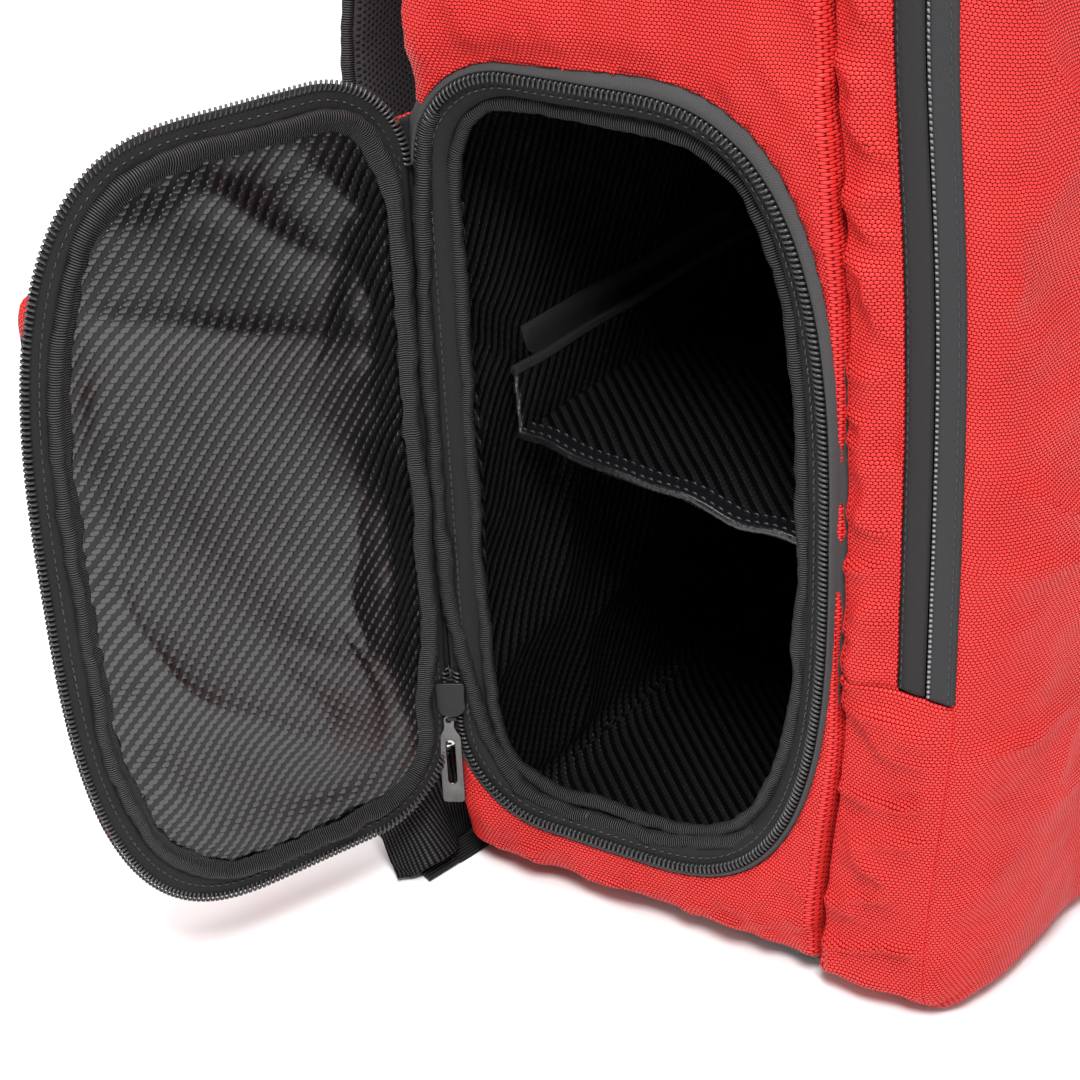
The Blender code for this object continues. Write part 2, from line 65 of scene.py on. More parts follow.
# ---- driving dimensions, as in the CAD source ---------------------------------------------------
TILT = math.radians(5.0)        # the opening's plane leans in from the hinge towards the front
DOOR_OPEN = {"left": math.radians(112.0), "right": 0.0}
OPEN_D = 0.200
OPEN_LOW = 0.040
OPEN_HIGH = 0.424
OPEN_MID = (OPEN_LOW + OPEN_HIGH) / 2
CORNER_R = 0.050
FRONT_POWER = 2.85
COIL_PITCH = 0.0025
POCKET_COIL_PITCH = 0.0020
HINGE_LOW = 0.118               # the coil stops here, below and above the fabric hinge
HINGE_HIGH = 0.374
HINGE_COVER = (0.096, 0.396)    # the fabric hinge's own cover reaches past both ends
HINGE_MID = 0.24
SLIDER_UP = 0.103               # where the boot zip's slider is parked
POCKET_SLIDER_UP = 0.262
LINING_GAP = 0.0045             # the boot lining hangs this far inside the shell
LINING_SIDE_GAP = 0.0060
SHELL_LOW, SHELL_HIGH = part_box("boot_shell")
FRONT_LOW, FRONT_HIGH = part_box("front_compartment")
FLAP_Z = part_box("front_flap")[0].z
SEAM_Y = SHELL_LOW.y
BACK_Y = SHELL_HIGH.y
TOP_Z = SHELL_HIGH.z

bpy.context.scene.view_settings.view_transform = "Standard"


# ---- smooth noise -------------------------------------------------------------------------------
DICE = np.random.default_rng(11)
SHUFFLE = DICE.permutation(256)
SLOPES = DICE.normal(size=(256, 3))
SLOPES /= np.linalg.norm(SLOPES, axis=1, keepdims=True)


def noise(points):
    """Gradient noise, about -1 to 1, at points of shape (..., 3) measured in its own cells."""
    points = np.asarray(points, float)
    cell = np.floor(points).astype(int)
    inside = points - cell
    fade = inside ** 3 * (inside * (inside * 6 - 15) + 10)
    total = np.zeros(points.shape[:-1])
    for corner in np.ndindex(2, 2, 2):
        spot = cell + np.array(corner)
        index = SHUFFLE[spot[..., 0] & 255]
        index = SHUFFLE[(index + spot[..., 1]) & 255]
        index = SHUFFLE[(index + spot[..., 2]) & 255]
        slope = ((inside - np.array(corner)) * SLOPES[index]).sum(-1)
        share = np.where(np.array(corner) == 1, fade, 1 - fade).prod(-1)
        total += share * slope
    return total * 1.7


def cells(points, size, seed=0.0):
    """The points scaled so that one noise cell is size metres: one number, or one for each axis."""
    return np.asarray(points) / np.asarray(size) + seed


def layered(points, size, seed=0.0, layers=3):
    total = 0.0
    for i in range(layers):
        total = total + noise(cells(points, np.asarray(size) / 2 ** i, seed + 17.3 * i)) / 2 ** i
    return total


def creases(points, size, seed=0.0):
    """Sharp folds with soft ground between them, 0 to 1."""
    return np.clip(1 - np.abs(layered(points, size, seed, 2)) * 2.2, 0, 1) ** 2


def ease(x, low, high):
    """0 below low, 1 above high, smooth between."""
    t = np.clip((np.asarray(x, float) - low) / (high - low), 0, 1)
    return t * t * (3 - 2 * t)


def groove(distance, width):
    return np.exp(-(np.asarray(distance) / width) ** 2)


# ---- mesh helpers -------------------------------------------------------------------------------
def make_mesh(name, points, faces, uv, mat):
    """A smooth-shaded object. uv is one pair for each face corner, in metres of cloth."""
    mesh = bpy.data.meshes.new(name)
    mesh.from_pydata(np.asarray(points, float).reshape(-1, 3).tolist(), [], np.asarray(faces).tolist())
    layer = mesh.uv_layers.new(name="cloth")
    layer.data.foreach_set("uv", np.asarray(uv, np.float32).ravel())
    mesh.shade_smooth()
    mesh.materials.append(mat)
    obj = bpy.data.objects.new(name, mesh)
    bpy.context.scene.collection.objects.link(obj)
    return obj


def grid(name, points, uv, mat, loop_u=False, loop_v=False, flip=False):
    """A sheet from points of shape (rows, columns, 3). uv has one more row or column where it loops."""
    rows, columns = points.shape[:2]
    i = np.arange(rows if loop_u else rows - 1)[:, None]
    j = np.arange(columns if loop_v else columns - 1)[None, :]
    corners = ((0, 0), (1, 0), (1, 1), (0, 1))
    if flip:
        corners = corners[::-1]
    faces = np.stack([(i + a) % rows * columns + (j + b) % columns for a, b in corners], -1)
    spots = np.stack([np.broadcast_arrays(i + a, j + b) for a, b in corners], -1)
    flat = uv[spots[0], spots[1]]
    return make_mesh(name, points, faces.reshape(-1, 4), flat.reshape(-1, 2), mat)


@contextlib.contextmanager
def editing(mesh):
    """The mesh opened as a bmesh, and written back afterwards."""
    bm = bmesh.new()
    bm.from_mesh(mesh)
    bm.verts.ensure_lookup_table()
    yield bm
    bm.to_mesh(mesh)
    bm.free()


def close_holes(obj, rings):
    """One face across each ring of vertex numbers."""
    with editing(obj.data) as bm:
        for ring_verts in rings:
            bm.faces.new([bm.verts[i] for i in ring_verts])
        bmesh.ops.recalc_face_normals(bm, faces=bm.faces[:])


def thicken(obj, amount, offset=-1.0):
    solid = obj.modifiers.new("thickness", "SOLIDIFY")
    solid.thickness = amount
    solid.offset = offset
    solid.use_rim = True
    return obj


def settle(obj):
    """The object's modifiers applied."""
    bpy.context.view_layer.update()
    graph = bpy.context.evaluated_depsgraph_get()
    mesh = bpy.data.meshes.new_from_object(obj.evaluated_get(graph))
    old = obj.data
    obj.modifiers.clear()
    obj.data = mesh
    bpy.data.meshes.remove(old)
    return obj


def dress(obj, body, slot, *nodes):
    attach(obj, body)
    if nodes:
        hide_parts(*nodes)
    return obj


def along_path(points):
    """Distance along a path of shape (n, 3)."""
    steps = np.linalg.norm(np.diff(points, axis=0), axis=1)
    return np.concatenate([[0.0], np.cumsum(steps)])


def evenly(points, count):
    """The same path as count evenly spaced points."""
    points = np.asarray(points, float)
    far = along_path(points)
    at = np.linspace(0, far[-1], count)
    return np.stack([np.interp(at, far, points[:, k]) for k in range(points.shape[1])], 1)


def curved(points, count):
    """Evenly spaced points on a smooth curve (Catmull-Rom) through the given ones."""
    pts = np.asarray(points, float)
    pts = np.vstack([2 * pts[0] - pts[1], pts, 2 * pts[-1] - pts[-2]])
    made = []
    for a, b, c, d in zip(pts, pts[1:], pts[2:], pts[3:]):
        for t in np.linspace(0, 1, 16, endpoint=False):
            made.append(0.5 * (2 * b + (c - a) * t + (2 * a - 5 * b + 4 * c - d) * t ** 2
                               + (3 * b - a - 3 * c + d) * t ** 3))
    made.append(pts[-2])
    return evenly(made, count)


def directions(path, loop=False):
    if loop:
        ahead = np.roll(path, -1, 0) - np.roll(path, 1, 0)
    else:
        ahead = np.gradient(path, axis=0)
    return ahead / np.linalg.norm(ahead, axis=1, keepdims=True)


def crossed(u, v):
    """Both coordinates of a grid whose rows are at u and columns at v."""
    return np.meshgrid(u, v, indexing="ij")


def spread(u, v):
    """Cloth coordinates of a grid whose rows are at u and columns at v."""
    return np.stack(crossed(u, v), -1)


def strip_spots(far, lateral):
    """Places for noise on a strip: along it, across it and 0."""
    far, lateral = np.broadcast_arrays(far[:, None], lateral[None])
    return np.stack([far, lateral, 0 * far], -1)


def flat_spots(x, z):
    """Places for noise on an upright face."""
    return np.stack([x, 0 * x, z], -1)


def inset(x, y, low, high):
    """How far in from the nearest edge of a rectangle a point lies."""
    return np.minimum(np.minimum(x - low[0], high[0] - x), np.minimum(y - low[1], high[1] - y))


def arc_points(center, radius, start, end, count=8):
    angle = np.radians(np.linspace(start, end, count))
    return [(center[0] + radius * math.cos(a), center[1] + radius * math.sin(a)) for a in angle]


def round_corners(low, high, corner, radius=None, count=10):
    """A closed loop round a rectangle with round corners, starting at the right end of its lower side.
    The arcs are centred corner in from the sides; a radius under corner sets the loop in."""
    radius = radius or corner
    loop = []
    for x, y, start in ((high[0] - corner, low[1] + corner, -90), (high[0] - corner, high[1] - corner, 0),
                        (low[0] + corner, high[1] - corner, 90), (low[0] + corner, low[1] + corner, 180)):
        loop += arc_points((x, y), radius, start, start + 90, count)
    return loop + loop[:1]


def unit(vectors):
    return vectors / np.maximum(np.linalg.norm(vectors, axis=-1, keepdims=True), 1e-12)


def frames(path, across, loop=False):
    """(across, out) directions square to the path, across as near as can be to the one given."""
    ahead = directions(path, loop)
    across = np.broadcast_to(np.asarray(across, float), path.shape)
    across = unit(across - (across * ahead).sum(1, keepdims=True) * ahead)
    return across, np.cross(across, ahead)


def swept(name, path, across, section, mat, loop=False):
    """A closed section, (columns, 2) or (rows, columns, 2) as (across, out), carried along a path."""
    side, out = frames(path, across, loop)
    section = np.broadcast_to(section, (len(path),) + np.shape(section)[-2:])
    points = path[:, None] + side[:, None] * section[..., :1] + out[:, None] * section[..., 1:]
    far = along_path(path)
    if loop:
        far = np.append(far, far[-1] + np.linalg.norm(path[0] - path[-1]))
    ring = np.vstack([section[0], section[0][:1]])
    round_it = along_path(ring)
    uv = spread(far, round_it)
    obj = grid(name, points, uv, mat, loop_u=loop, loop_v=True)
    if not loop:
        row = np.arange(section.shape[1])
        close_holes(obj, (row, row + (len(path) - 1) * len(row)))
    return obj


def rounded_section(width, height, corner, steps=3):
    """A rounded rectangle, counter-clockwise, as (columns, 2)."""
    loop = []
    for cx, cy, start in ((1, 1, 0.0), (-1, 1, 0.5), (-1, -1, 1.0), (1, -1, 1.5)):
        for i in range(steps + 1):
            angle = math.pi * (start + 0.5 * i / steps)
            loop.append((cx * (width / 2 - corner) + corner * math.cos(angle),
                         cy * (height / 2 - corner) + corner * math.sin(angle)))
    return np.array(loop)


def oval_section(width, height, count=12, power=2.0):
    angle = np.arange(count) * 2 * np.pi / count
    c, s = np.cos(angle), np.sin(angle)
    return np.stack([width / 2 * np.sign(c) * np.abs(c) ** (2 / power),
                     height / 2 * np.sign(s) * np.abs(s) ** (2 / power)], 1)


def stitches(name, path, out, mat, length=0.0030, gap=0.0012, radius=0.0004, lift=0.0002):
    """A row of thread stitches along a path, standing a little out of the cloth."""
    far = along_path(path)
    count = max(1, int(far[-1] // (length + gap)))
    starts = (np.arange(count) + 0.5) * far[-1] / count
    out = np.broadcast_to(np.asarray(out, float), path.shape)
    ends = []
    for shift in np.linspace(-0.5, 0.5, 5):
        at = starts + shift * length
        point = np.stack([np.interp(at, far, path[:, k]) for k in range(3)], 1)
        normal = unit(np.stack([np.interp(at, far, out[:, k]) for k in range(3)], 1))
        rise = lift - radius * 1.6 * (2 * shift) ** 4
        ends.append((point + normal * rise, normal))
    ahead = unit(ends[-1][0] - ends[0][0])
    rings = []
    for (point, normal), swell in zip(ends, (0.35, 0.9, 1.0, 0.9, 0.35)):
        side = np.cross(ahead, normal)
        for k in range(6):
            turn = k * math.pi / 3
            rings.append(point + (side * math.cos(turn) + normal * math.sin(turn)) * radius * swell)
    points = np.stack(rings, 1)
    faces = [(r * 6 + k, r * 6 + (k + 1) % 6, (r + 1) * 6 + (k + 1) % 6, (r + 1) * 6 + k)
             for r in range(4) for k in range(6)]
    faces += [(0, 5, 4, 3), (0, 3, 2, 1), (24, 25, 26, 27), (24, 27, 28, 29)]
    faces = np.array(faces)[None] + np.arange(count)[:, None, None] * 30
    uv = np.zeros((count * len(faces[0]) * 4, 2))
    uv[:, 0] = np.repeat(starts, len(faces[0]) * 4)
    return make_mesh(name, points, faces.reshape(-1, 4), uv, mat)


def plate(name, outline, holes, thickness, edge, mat, matrix):
    """A flat plate with rounded edges from (x, y) outlines; it lies in the matrix's own X and Y."""
    curve = bpy.data.curves.new(name, "CURVE")
    curve.dimensions = "2D"
    curve.fill_mode = "BOTH"
    curve.extrude = thickness / 2 - edge
    curve.bevel_depth = edge
    curve.bevel_resolution = 2
    curve.offset = -edge
    for loop in (outline, *holes):
        spline = curve.splines.new("POLY")
        spline.points.add(len(loop) - 1)
        for point, (x, y) in zip(spline.points, loop):
            point.co = (x, y, 0.0, 1.0)
        spline.use_cyclic_u = True
    shape = bpy.data.objects.new(name, curve)
    bpy.context.scene.collection.objects.link(shape)
    bpy.context.view_layer.update()
    graph = bpy.context.evaluated_depsgraph_get()
    mesh = bpy.data.meshes.new_from_object(shape.evaluated_get(graph))
    bpy.data.objects.remove(shape)
    with editing(mesh) as bm:
        bmesh.ops.remove_doubles(bm, verts=bm.verts, dist=0.000005)
        bmesh.ops.transform(bm, matrix=matrix, verts=bm.verts)
        bmesh.ops.recalc_face_normals(bm, faces=bm.faces[:])
    mesh.materials.clear()
    mesh.materials.append(mat)
    mesh.shade_smooth()
    mesh.set_sharp_from_angle(angle=math.radians(38))
    obj = bpy.data.objects.new(name, mesh)
    bpy.context.scene.collection.objects.link(obj)
    return obj


# ---- a rounded box of cloth ---------------------------------------------------------------------
def steps_along(low, high, round_low, round_high, step, extra):
    """Coordinates along one side of a rounded box: fine in its rounded ends and round extra places."""
    curl = np.tan(np.linspace(math.pi / 4, 0, 7))
    flat = np.arange(low + round_low, high - round_high, step)[1:]
    parts = [low + round_low * (1 - curl), flat, high - round_high * (1 - curl)]
    for place in extra:
        parts.append(place + np.array([-3.2, -2.2, -1.4, -0.8, -0.3, 0.3, 0.8, 1.4, 2.2, 3.2]) * MM)
    values = np.unique(np.concatenate(parts))
    keep = np.concatenate([[True], np.diff(values) > 0.00015])
    return values[keep]


class RoundedBox:
    """A closed box of cloth with rounded edges, on a grid of X, Y and Z lines.

    radii is ((x low, x high), (y low, y high), (z low, z high)). points, normals and flat (the places
    on the unrounded box) have one row for each vertex; sides says which of the six faces a quad is on.
    """

    def __init__(self, axes, radii):
        self.axes = [np.asarray(a, float) for a in axes]
        shape = tuple(len(a) for a in self.axes)
        skin = np.zeros(shape, bool)
        for axis in range(3):
            for end in (0, -1):
                skin[tuple(end if k == axis else slice(None) for k in range(3))] = True
        ids = np.full(shape, -1)
        ids[skin] = np.arange(skin.sum())
        spots = np.nonzero(skin)
        self.flat = np.stack([self.axes[k][spots[k]] for k in range(3)], 1)
        quads, sides = [], []
        for axis in range(3):
            for end in (0, -1):
                sheet = ids[tuple(end if k == axis else slice(None) for k in range(3))]
                four = [sheet[:-1, :-1], sheet[1:, :-1], sheet[1:, 1:], sheet[:-1, 1:]]
                if (end == 0) != (axis == 1):
                    four = four[::-1]
                quads.append(np.stack(four, -1).reshape(-1, 4))
                sides.append(np.full(len(quads[-1]), axis * 2 + (end == -1)))
        self.quads = np.concatenate(quads)
        self.sides = np.concatenate(sides)
        low = np.array([a[0] for a in self.axes])
        high = np.array([a[-1] for a in self.axes])
        r_low = np.array([r[0] for r in radii])
        r_high = np.array([r[1] for r in radii])
        core = np.clip(self.flat, low + r_low, high - r_high)
        away = self.flat - core
        radius = np.where(away < 0, r_low, r_high)
        share = away / radius
        length = np.linalg.norm(share, axis=1, keepdims=True)
        self.points = core + radius * share / length
        self.normals = unit(share / radius)
        self.cloth = core + radius * np.arctan(share)

    def push(self, amount):
        self.points = self.points + self.normals * np.asarray(amount)[:, None]

    def uv(self):
        """Cloth coordinates for each face corner: the two directions along its own face."""
        first = np.array([1, 1, 0, 0, 0, 0])[self.sides][:, None]
        second = np.array([2, 2, 2, 2, 1, 1])[self.sides][:, None]
        spots = self.cloth[self.quads]
        rows = np.arange(len(self.quads))[:, None]
        corner = np.arange(4)[None]
        return np.stack([spots[rows, corner, first], spots[rows, corner, second]], -1).reshape(-1, 2)

    def build(self, name, mat):
        return make_mesh(name, self.points, self.quads, self.uv(), mat)


def cloth_box(low, high, radii, step, extra=((), (), ())):
    """A rounded box between two corners, its lines step apart and closer at the extra places."""
    axes = [steps_along(low[k], high[k], *radii[k], step, extra[k]) for k in range(3)]
    return RoundedBox(axes, radii)


# ---- materials ----------------------------------------------------------------------------------
class Paint:
    """A node material round one Principled shader, with short ways to write its patterns."""

    def __init__(self, name, roughness=0.6, metallic=0.0, specular=0.5):
        self.mat = bpy.data.materials.new(name)
        self.mat.use_nodes = True
        self.tree = self.mat.node_tree
        self.shader = self.tree.nodes["Principled BSDF"]
        self.set("Roughness", roughness)
        self.set("Metallic", metallic)
        self.set("Specular IOR Level", specular)

    def set(self, socket, value):
        if isinstance(value, bpy.types.NodeSocket):
            self.tree.links.new(value, self.shader.inputs[socket])
        else:
            self.shader.inputs[socket].default_value = value

    def node(self, kind, **settings):
        made = self.tree.nodes.new("ShaderNode" + kind)
        for key, value in settings.items():
            setattr(made, key, value)
        return made

    def feed(self, socket, value):
        if isinstance(value, bpy.types.NodeSocket):
            self.tree.links.new(value, socket)
        else:
            socket.default_value = value

    def math(self, operation, *values):
        made = self.node("Math", operation=operation)
        for socket, value in zip(made.inputs, values):
            self.feed(socket, value)
        return made.outputs[0]

    def cloth(self):
        """The cloth coordinates, in metres, as two sockets."""
        place = self.node("UVMap", uv_map="cloth")
        split = self.node("SeparateXYZ")
        self.feed(split.inputs[0], place.outputs[0])
        return split.outputs[0], split.outputs[1]

    def place(self):
        return self.node("TexCoord").outputs["Object"]

    def grain(self, size, detail=3.0, roughness=0.6, vector=None):
        """Noise from 0 to 1 with lumps about size metres across."""
        made = self.node("TexNoise")
        self.feed(made.inputs["Vector"], vector or self.place())
        made.inputs["Scale"].default_value = 1.0 / size
        made.inputs["Detail"].default_value = detail
        made.inputs["Roughness"].default_value = roughness
        return made.outputs["Fac"]

    def within(self, value, low, high, out_low=0.0, out_high=1.0):
        made = self.node("MapRange", interpolation_type="SMOOTHSTEP")
        self.feed(made.inputs["Value"], value)
        for key, number in (("From Min", low), ("From Max", high), ("To Min", out_low), ("To Max", out_high)):
            self.feed(made.inputs[key], number)
        return made.outputs[0]

    def mix(self, share, first, second):
        made = self.node("Mix", data_type="RGBA")
        self.feed(made.inputs[0], share)
        for socket, value in ((made.inputs[6], first), (made.inputs[7], second)):
            self.feed(socket, value if isinstance(value, bpy.types.NodeSocket) else (*value, 1.0))
        return made.outputs[2]

    def bump(self, height, depth):
        """Relief: height 0 to 1 stands depth metres out."""
        made = self.node("Bump")
        made.inputs["Strength"].default_value = 1.0
        made.inputs["Distance"].default_value = depth
        self.feed(made.inputs["Height"], height)
        self.set("Normal", made.outputs[0])

    def knots(self, u, v, pitch, row, lean=0.5, slant=0.0):
        """Where a point lies on its thread bump, -0.5 to 0.5 each way, in rows of bumps pitch apart.
        Each row is shifted by lean of a pitch; slant from 0 to 1 tilts the bumps along that shift."""
        rows = self.math("DIVIDE", v, row)
        number = self.math("FLOOR", rows)
        whole = self.math("MULTIPLY", number, 1 - slant)
        stepped = self.math("ADD", whole, self.math("MULTIPLY", rows, slant))
        across = self.math("SUBTRACT", self.math("DIVIDE", u, pitch), self.math("MULTIPLY", stepped, lean))
        fu = self.math("SUBTRACT", self.math("FRACT", across), 0.5)
        fv = self.math("SUBTRACT", self.math("FRACT", rows), 0.5)
        return fu, fv

    def oval(self, fu, fv, half_u, half_v):
        """1 in the middle of a bump, 0 on its oval edge and beyond."""
        first = self.math("POWER", self.math("ABSOLUTE", self.math("DIVIDE", fu, half_u)), 2.4)
        second = self.math("POWER", self.math("ABSOLUTE", self.math("DIVIDE", fv, half_v)), 2.4)
        return self.math("MAXIMUM", self.math("SUBTRACT", 1.0, self.math("ADD", first, second)), 0.0)


def red_weave(name):
    """Coarse polyester: rounded thread bumps in a brick pattern, with painted shade in the dark red gaps
    between them.
    """
    p = Paint(name)
    u, v = p.cloth()
    fu, fv = p.knots(u, v, 0.00195, 0.0015)
    bump = p.oval(fu, fv, 0.54, 0.56)
    tone = p.grain(0.035, detail=4.0)
    thread = p.mix(tone, (0.52, 0.016, 0.015), (0.75, 0.036, 0.032))
    # painted shade: the gaps between the thread bumps are coloured dark red, far darker than the threads
    p.set("Base Color", p.mix(p.within(bump, 0.05, 0.62), (0.085, 0.0006, 0.0020), thread))
    p.set("Roughness", p.within(bump, 0.0, 1.0, 0.80, 0.42))
    p.set("Specular IOR Level", p.within(bump, 0.1, 0.9, 0.02, 0.30))
    p.bump(p.math("POWER", p.math("ADD", bump, 0.001), 0.6), 0.00060)
    return p.mat


def coated_twill():
    """Glossy coated lining, finely embossed with slanting strands of short bumps."""
    p = Paint("coated_lining")
    u, v = p.cloth()
    fu, fv = p.knots(u, v, 0.0064, 0.0029, 0.2476, 0.55)
    bump = p.oval(fu, fv, 0.32, 0.62)
    high = p.within(bump, 0.0, 0.5)
    # painted shade: the gaps between the strands are coloured darker than the strands' tops
    p.set("Base Color", p.mix(high, (0.0010, 0.0010, 0.0012), (0.0090, 0.0088, 0.0100)))
    worn = p.grain(0.05, detail=5.0)
    p.set("Roughness", p.math("ADD", p.within(bump, 0.0, 0.4, 0.32, 0.16), p.math("MULTIPLY", worn, 0.10)))
    p.set("Specular IOR Level", p.within(bump, 0.0, 0.5, 0.25, 0.64))
    p.set("Coat Weight", 0.14)
    p.set("Coat Roughness", 0.16)
    p.bump(p.math("POWER", p.math("ADD", bump, 0.001), 0.5), 0.00052)
    return p.mat


def ribbed(name, low, high, rib, depth, roughness=0.62, cross=0.0):
    """Ribbed tape or webbing: ribs lie across its length. cross sets a second, finer rib along it."""
    p = Paint(name, roughness=roughness, specular=0.35)
    u, v = p.cloth()
    wave = p.math("SINE", p.math("MULTIPLY", u, 2 * math.pi / rib))
    height = p.within(wave, -1.0, 1.0)
    if cross:
        fine = p.math("SINE", p.math("MULTIPLY", v, 2 * math.pi / cross))
        height = p.math("MULTIPLY", height, p.within(fine, -1.0, 1.0, 0.45, 1.0))
    fuzz = p.grain(0.0006, detail=2.0)
    shade = p.math("MULTIPLY", height, p.within(fuzz, 0.2, 0.8, 0.6, 1.0))
    # painted shade: the grooves between the ribs are coloured darker than the crests; the fuzz adds random
    # tone
    p.set("Base Color", p.mix(shade, low, high))
    p.set("Specular IOR Level", p.within(shade, 0.1, 0.8, 0.04, 0.55))
    p.bump(p.math("ADD", height, p.math("MULTIPLY", fuzz, 0.3)), depth)
    return p.mat


def plain_tape(name, low, high, size=0.0004, roughness=0.8):
    """Smooth tightly woven tape: a fine herringbone."""
    p = Paint(name, roughness=roughness, specular=0.2)
    u, v = p.cloth()
    zigzag = p.math("PINGPONG", v, 0.0012)
    line = p.math("SINE", p.math("MULTIPLY", p.math("ADD", u, zigzag), 2 * math.pi / 0.0011))
    fuzz = p.grain(size * 3, detail=2.0)
    height = p.math("MULTIPLY", p.within(line, -1.0, 1.0, 0.5, 1.0), p.within(fuzz, 0.2, 0.8, 0.7, 1.0))
    # painted shade: the herringbone's grooves are coloured darker than its ridges; the fuzz adds random tone
    p.set("Base Color", p.mix(height, low, high))
    p.bump(height, 0.00008)
    return p.mat


def glossy_nylon(name, color, roughness=0.28):
    p = Paint(name, roughness=roughness, specular=0.6)
    fleck = p.grain(0.0009, detail=2.0)
    p.set("Base Color", p.mix(fleck, [c * 0.6 for c in color], [min(1.0, c * 1.5) for c in color]))
    p.set("Roughness", p.within(fleck, 0.2, 0.8, roughness * 0.8, roughness * 1.3))
    return p.mat


def moulded(name, color, roughness, size=0.0009, depth=0.00003, specular=0.5):
    """Moulded plastic or rubber with a fine spark-eroded grain."""
    p = Paint(name, specular=specular)
    fine = p.grain(size, detail=3.0)
    broad = p.grain(0.02, detail=3.0)
    p.set("Base Color", p.mix(broad, [c * 0.8 for c in color], [c * 1.25 for c in color]))
    p.set("Roughness", p.within(fine, 0.25, 0.75, roughness * 0.85, roughness * 1.2))
    p.bump(fine, depth)
    return p.mat


def satin_metal():
    """Brushed dark steel, a little brighter where it is rubbed."""
    p = Paint("satin_steel", metallic=1.0)
    stretch = p.node("Mapping")
    stretch.inputs["Scale"].default_value = (1.0, 1.0, 0.06)
    p.feed(stretch.inputs["Vector"], p.place())
    brushed = p.grain(0.0003, detail=3.0, vector=stretch.outputs[0])
    worn = p.grain(0.006, detail=3.0)
    p.set("Base Color", p.mix(worn, (0.075, 0.073, 0.072), (0.15, 0.147, 0.145)))
    p.set("Roughness", p.within(brushed, 0.2, 0.8, 0.24, 0.40))
    p.bump(brushed, 0.00001)
    return p.mat


def spacer_mesh():
    """Padded air mesh: round open cells over foam."""
    p = Paint("mesh_padding", roughness=0.85, specular=0.3)
    u, v = p.cloth()
    fu, fv = p.knots(u, v, 0.0030, 0.0026)
    hole = p.oval(fu, fv, 0.34, 0.36)
    thread = p.within(p.grain(0.0007, detail=2.0), 0.2, 0.8)
    yarn = p.mix(thread, (0.016, 0.016, 0.018), (0.036, 0.036, 0.040))
    # painted shade: the open cells are coloured near black, darker than the yarn round them
    p.set("Base Color", p.mix(hole, yarn, (0.003, 0.003, 0.003)))
    p.bump(p.math("SUBTRACT", p.math("MULTIPLY", thread, 0.2), hole), 0.0007)
    return p.mat


def loop_pile():
    p = Paint("hook_and_loop", roughness=0.95, specular=0.2)
    fuzz = p.grain(0.0009, detail=6.0, roughness=0.8)
    p.set("Base Color", p.mix(fuzz, (0.004, 0.004, 0.004), (0.03, 0.03, 0.032)))
    p.bump(fuzz, 0.0008)
    return p.mat


RED = red_weave("red_fabric")
LINING = coated_twill()
# In these ribbed and herringbone tapes the first colour is the painted shade of the grooves, the second the
# crests' colour.
GROSGRAIN = ribbed("grosgrain", (0.0012, 0.0012, 0.0014), (0.034, 0.034, 0.036), 0.0011, 0.00050)
WEBBING = ribbed("webbing", (0.003, 0.003, 0.0035), (0.022, 0.022, 0.024), 0.0021, 0.00035, cross=0.0016)
TAPE = plain_tape("zip_tape", (0.004, 0.004, 0.0045), (0.016, 0.016, 0.017))
TAPE_LIP = plain_tape("zip_tape_lip", (0.026, 0.025, 0.026), (0.058, 0.056, 0.057))
FRONT_TAPE = plain_tape("front_zip_tape", (0.010, 0.0095, 0.010), (0.025, 0.0235, 0.025))
FRONT_TAPE_LIGHT = plain_tape("flap_zip_tape", (0.015, 0.0150, 0.016), (0.036, 0.035, 0.037))
COIL = glossy_nylon("nylon_coil", (0.022, 0.022, 0.023), 0.34)
FRONT_COIL = glossy_nylon("front_nylon_coil", (0.16, 0.16, 0.165), 0.35)
THREAD = glossy_nylon("sewing_thread", (0.020, 0.020, 0.022), 0.35)
RED_THREAD = glossy_nylon("red_thread", (0.45, 0.02, 0.02), 0.5)
MESH_PAD = spacer_mesh()
PILE = loop_pile()
PLASTIC = moulded("black_acetal", (0.006, 0.006, 0.0065), 0.42, specular=0.3)
HEM = moulded("coated_hem", (0.0060, 0.0060, 0.0068), 0.20, size=0.004, depth=0.0004)
PIPING = moulded("piping", (0.010, 0.010, 0.011), 0.4)
RUBBER = moulded("base_rubber", (0.060, 0.054, 0.052), 0.55, size=0.0006)
STEEL = satin_metal()


# ---- the two sides ------------------------------------------------------------------------------
class Side:
    """One side of the bag. place(along, up, out) gives points in the row frame: along runs from the
    hinge to the front edge of the opening, up is +Z and out is away from the bag. The door's own
    frame is the same one turned about the hinge by the angle it stands open."""

    def __init__(self, name):
        self.name = name
        self.sign = SIDES[name]
        self.hinge = np.array(JOINTS[name + "_door_hinge"]["pos_m"])
        self.flip = self.sign > 0
        along = np.array([-self.sign * math.sin(TILT), -math.cos(TILT), 0.0])
        out = np.array([self.sign * math.cos(TILT), -math.sin(TILT), 0.0])
        self.mouth = along, out
        turn = self.sign * DOOR_OPEN[name]
        c, s = math.cos(turn), math.sin(turn)
        swing = np.array([[c, -s, 0.0], [s, c, 0.0], [0.0, 0.0, 1.0]])
        self.door = swing @ along, swing @ out

    def place(self, frame_name, along, up, out):
        a, n = getattr(self, frame_name)
        along, up, out = (np.asarray(value, float)[..., None] for value in (along, up, out))
        return self.hinge + along * a + up * np.array([0.0, 0.0, 1.0]) + out * n


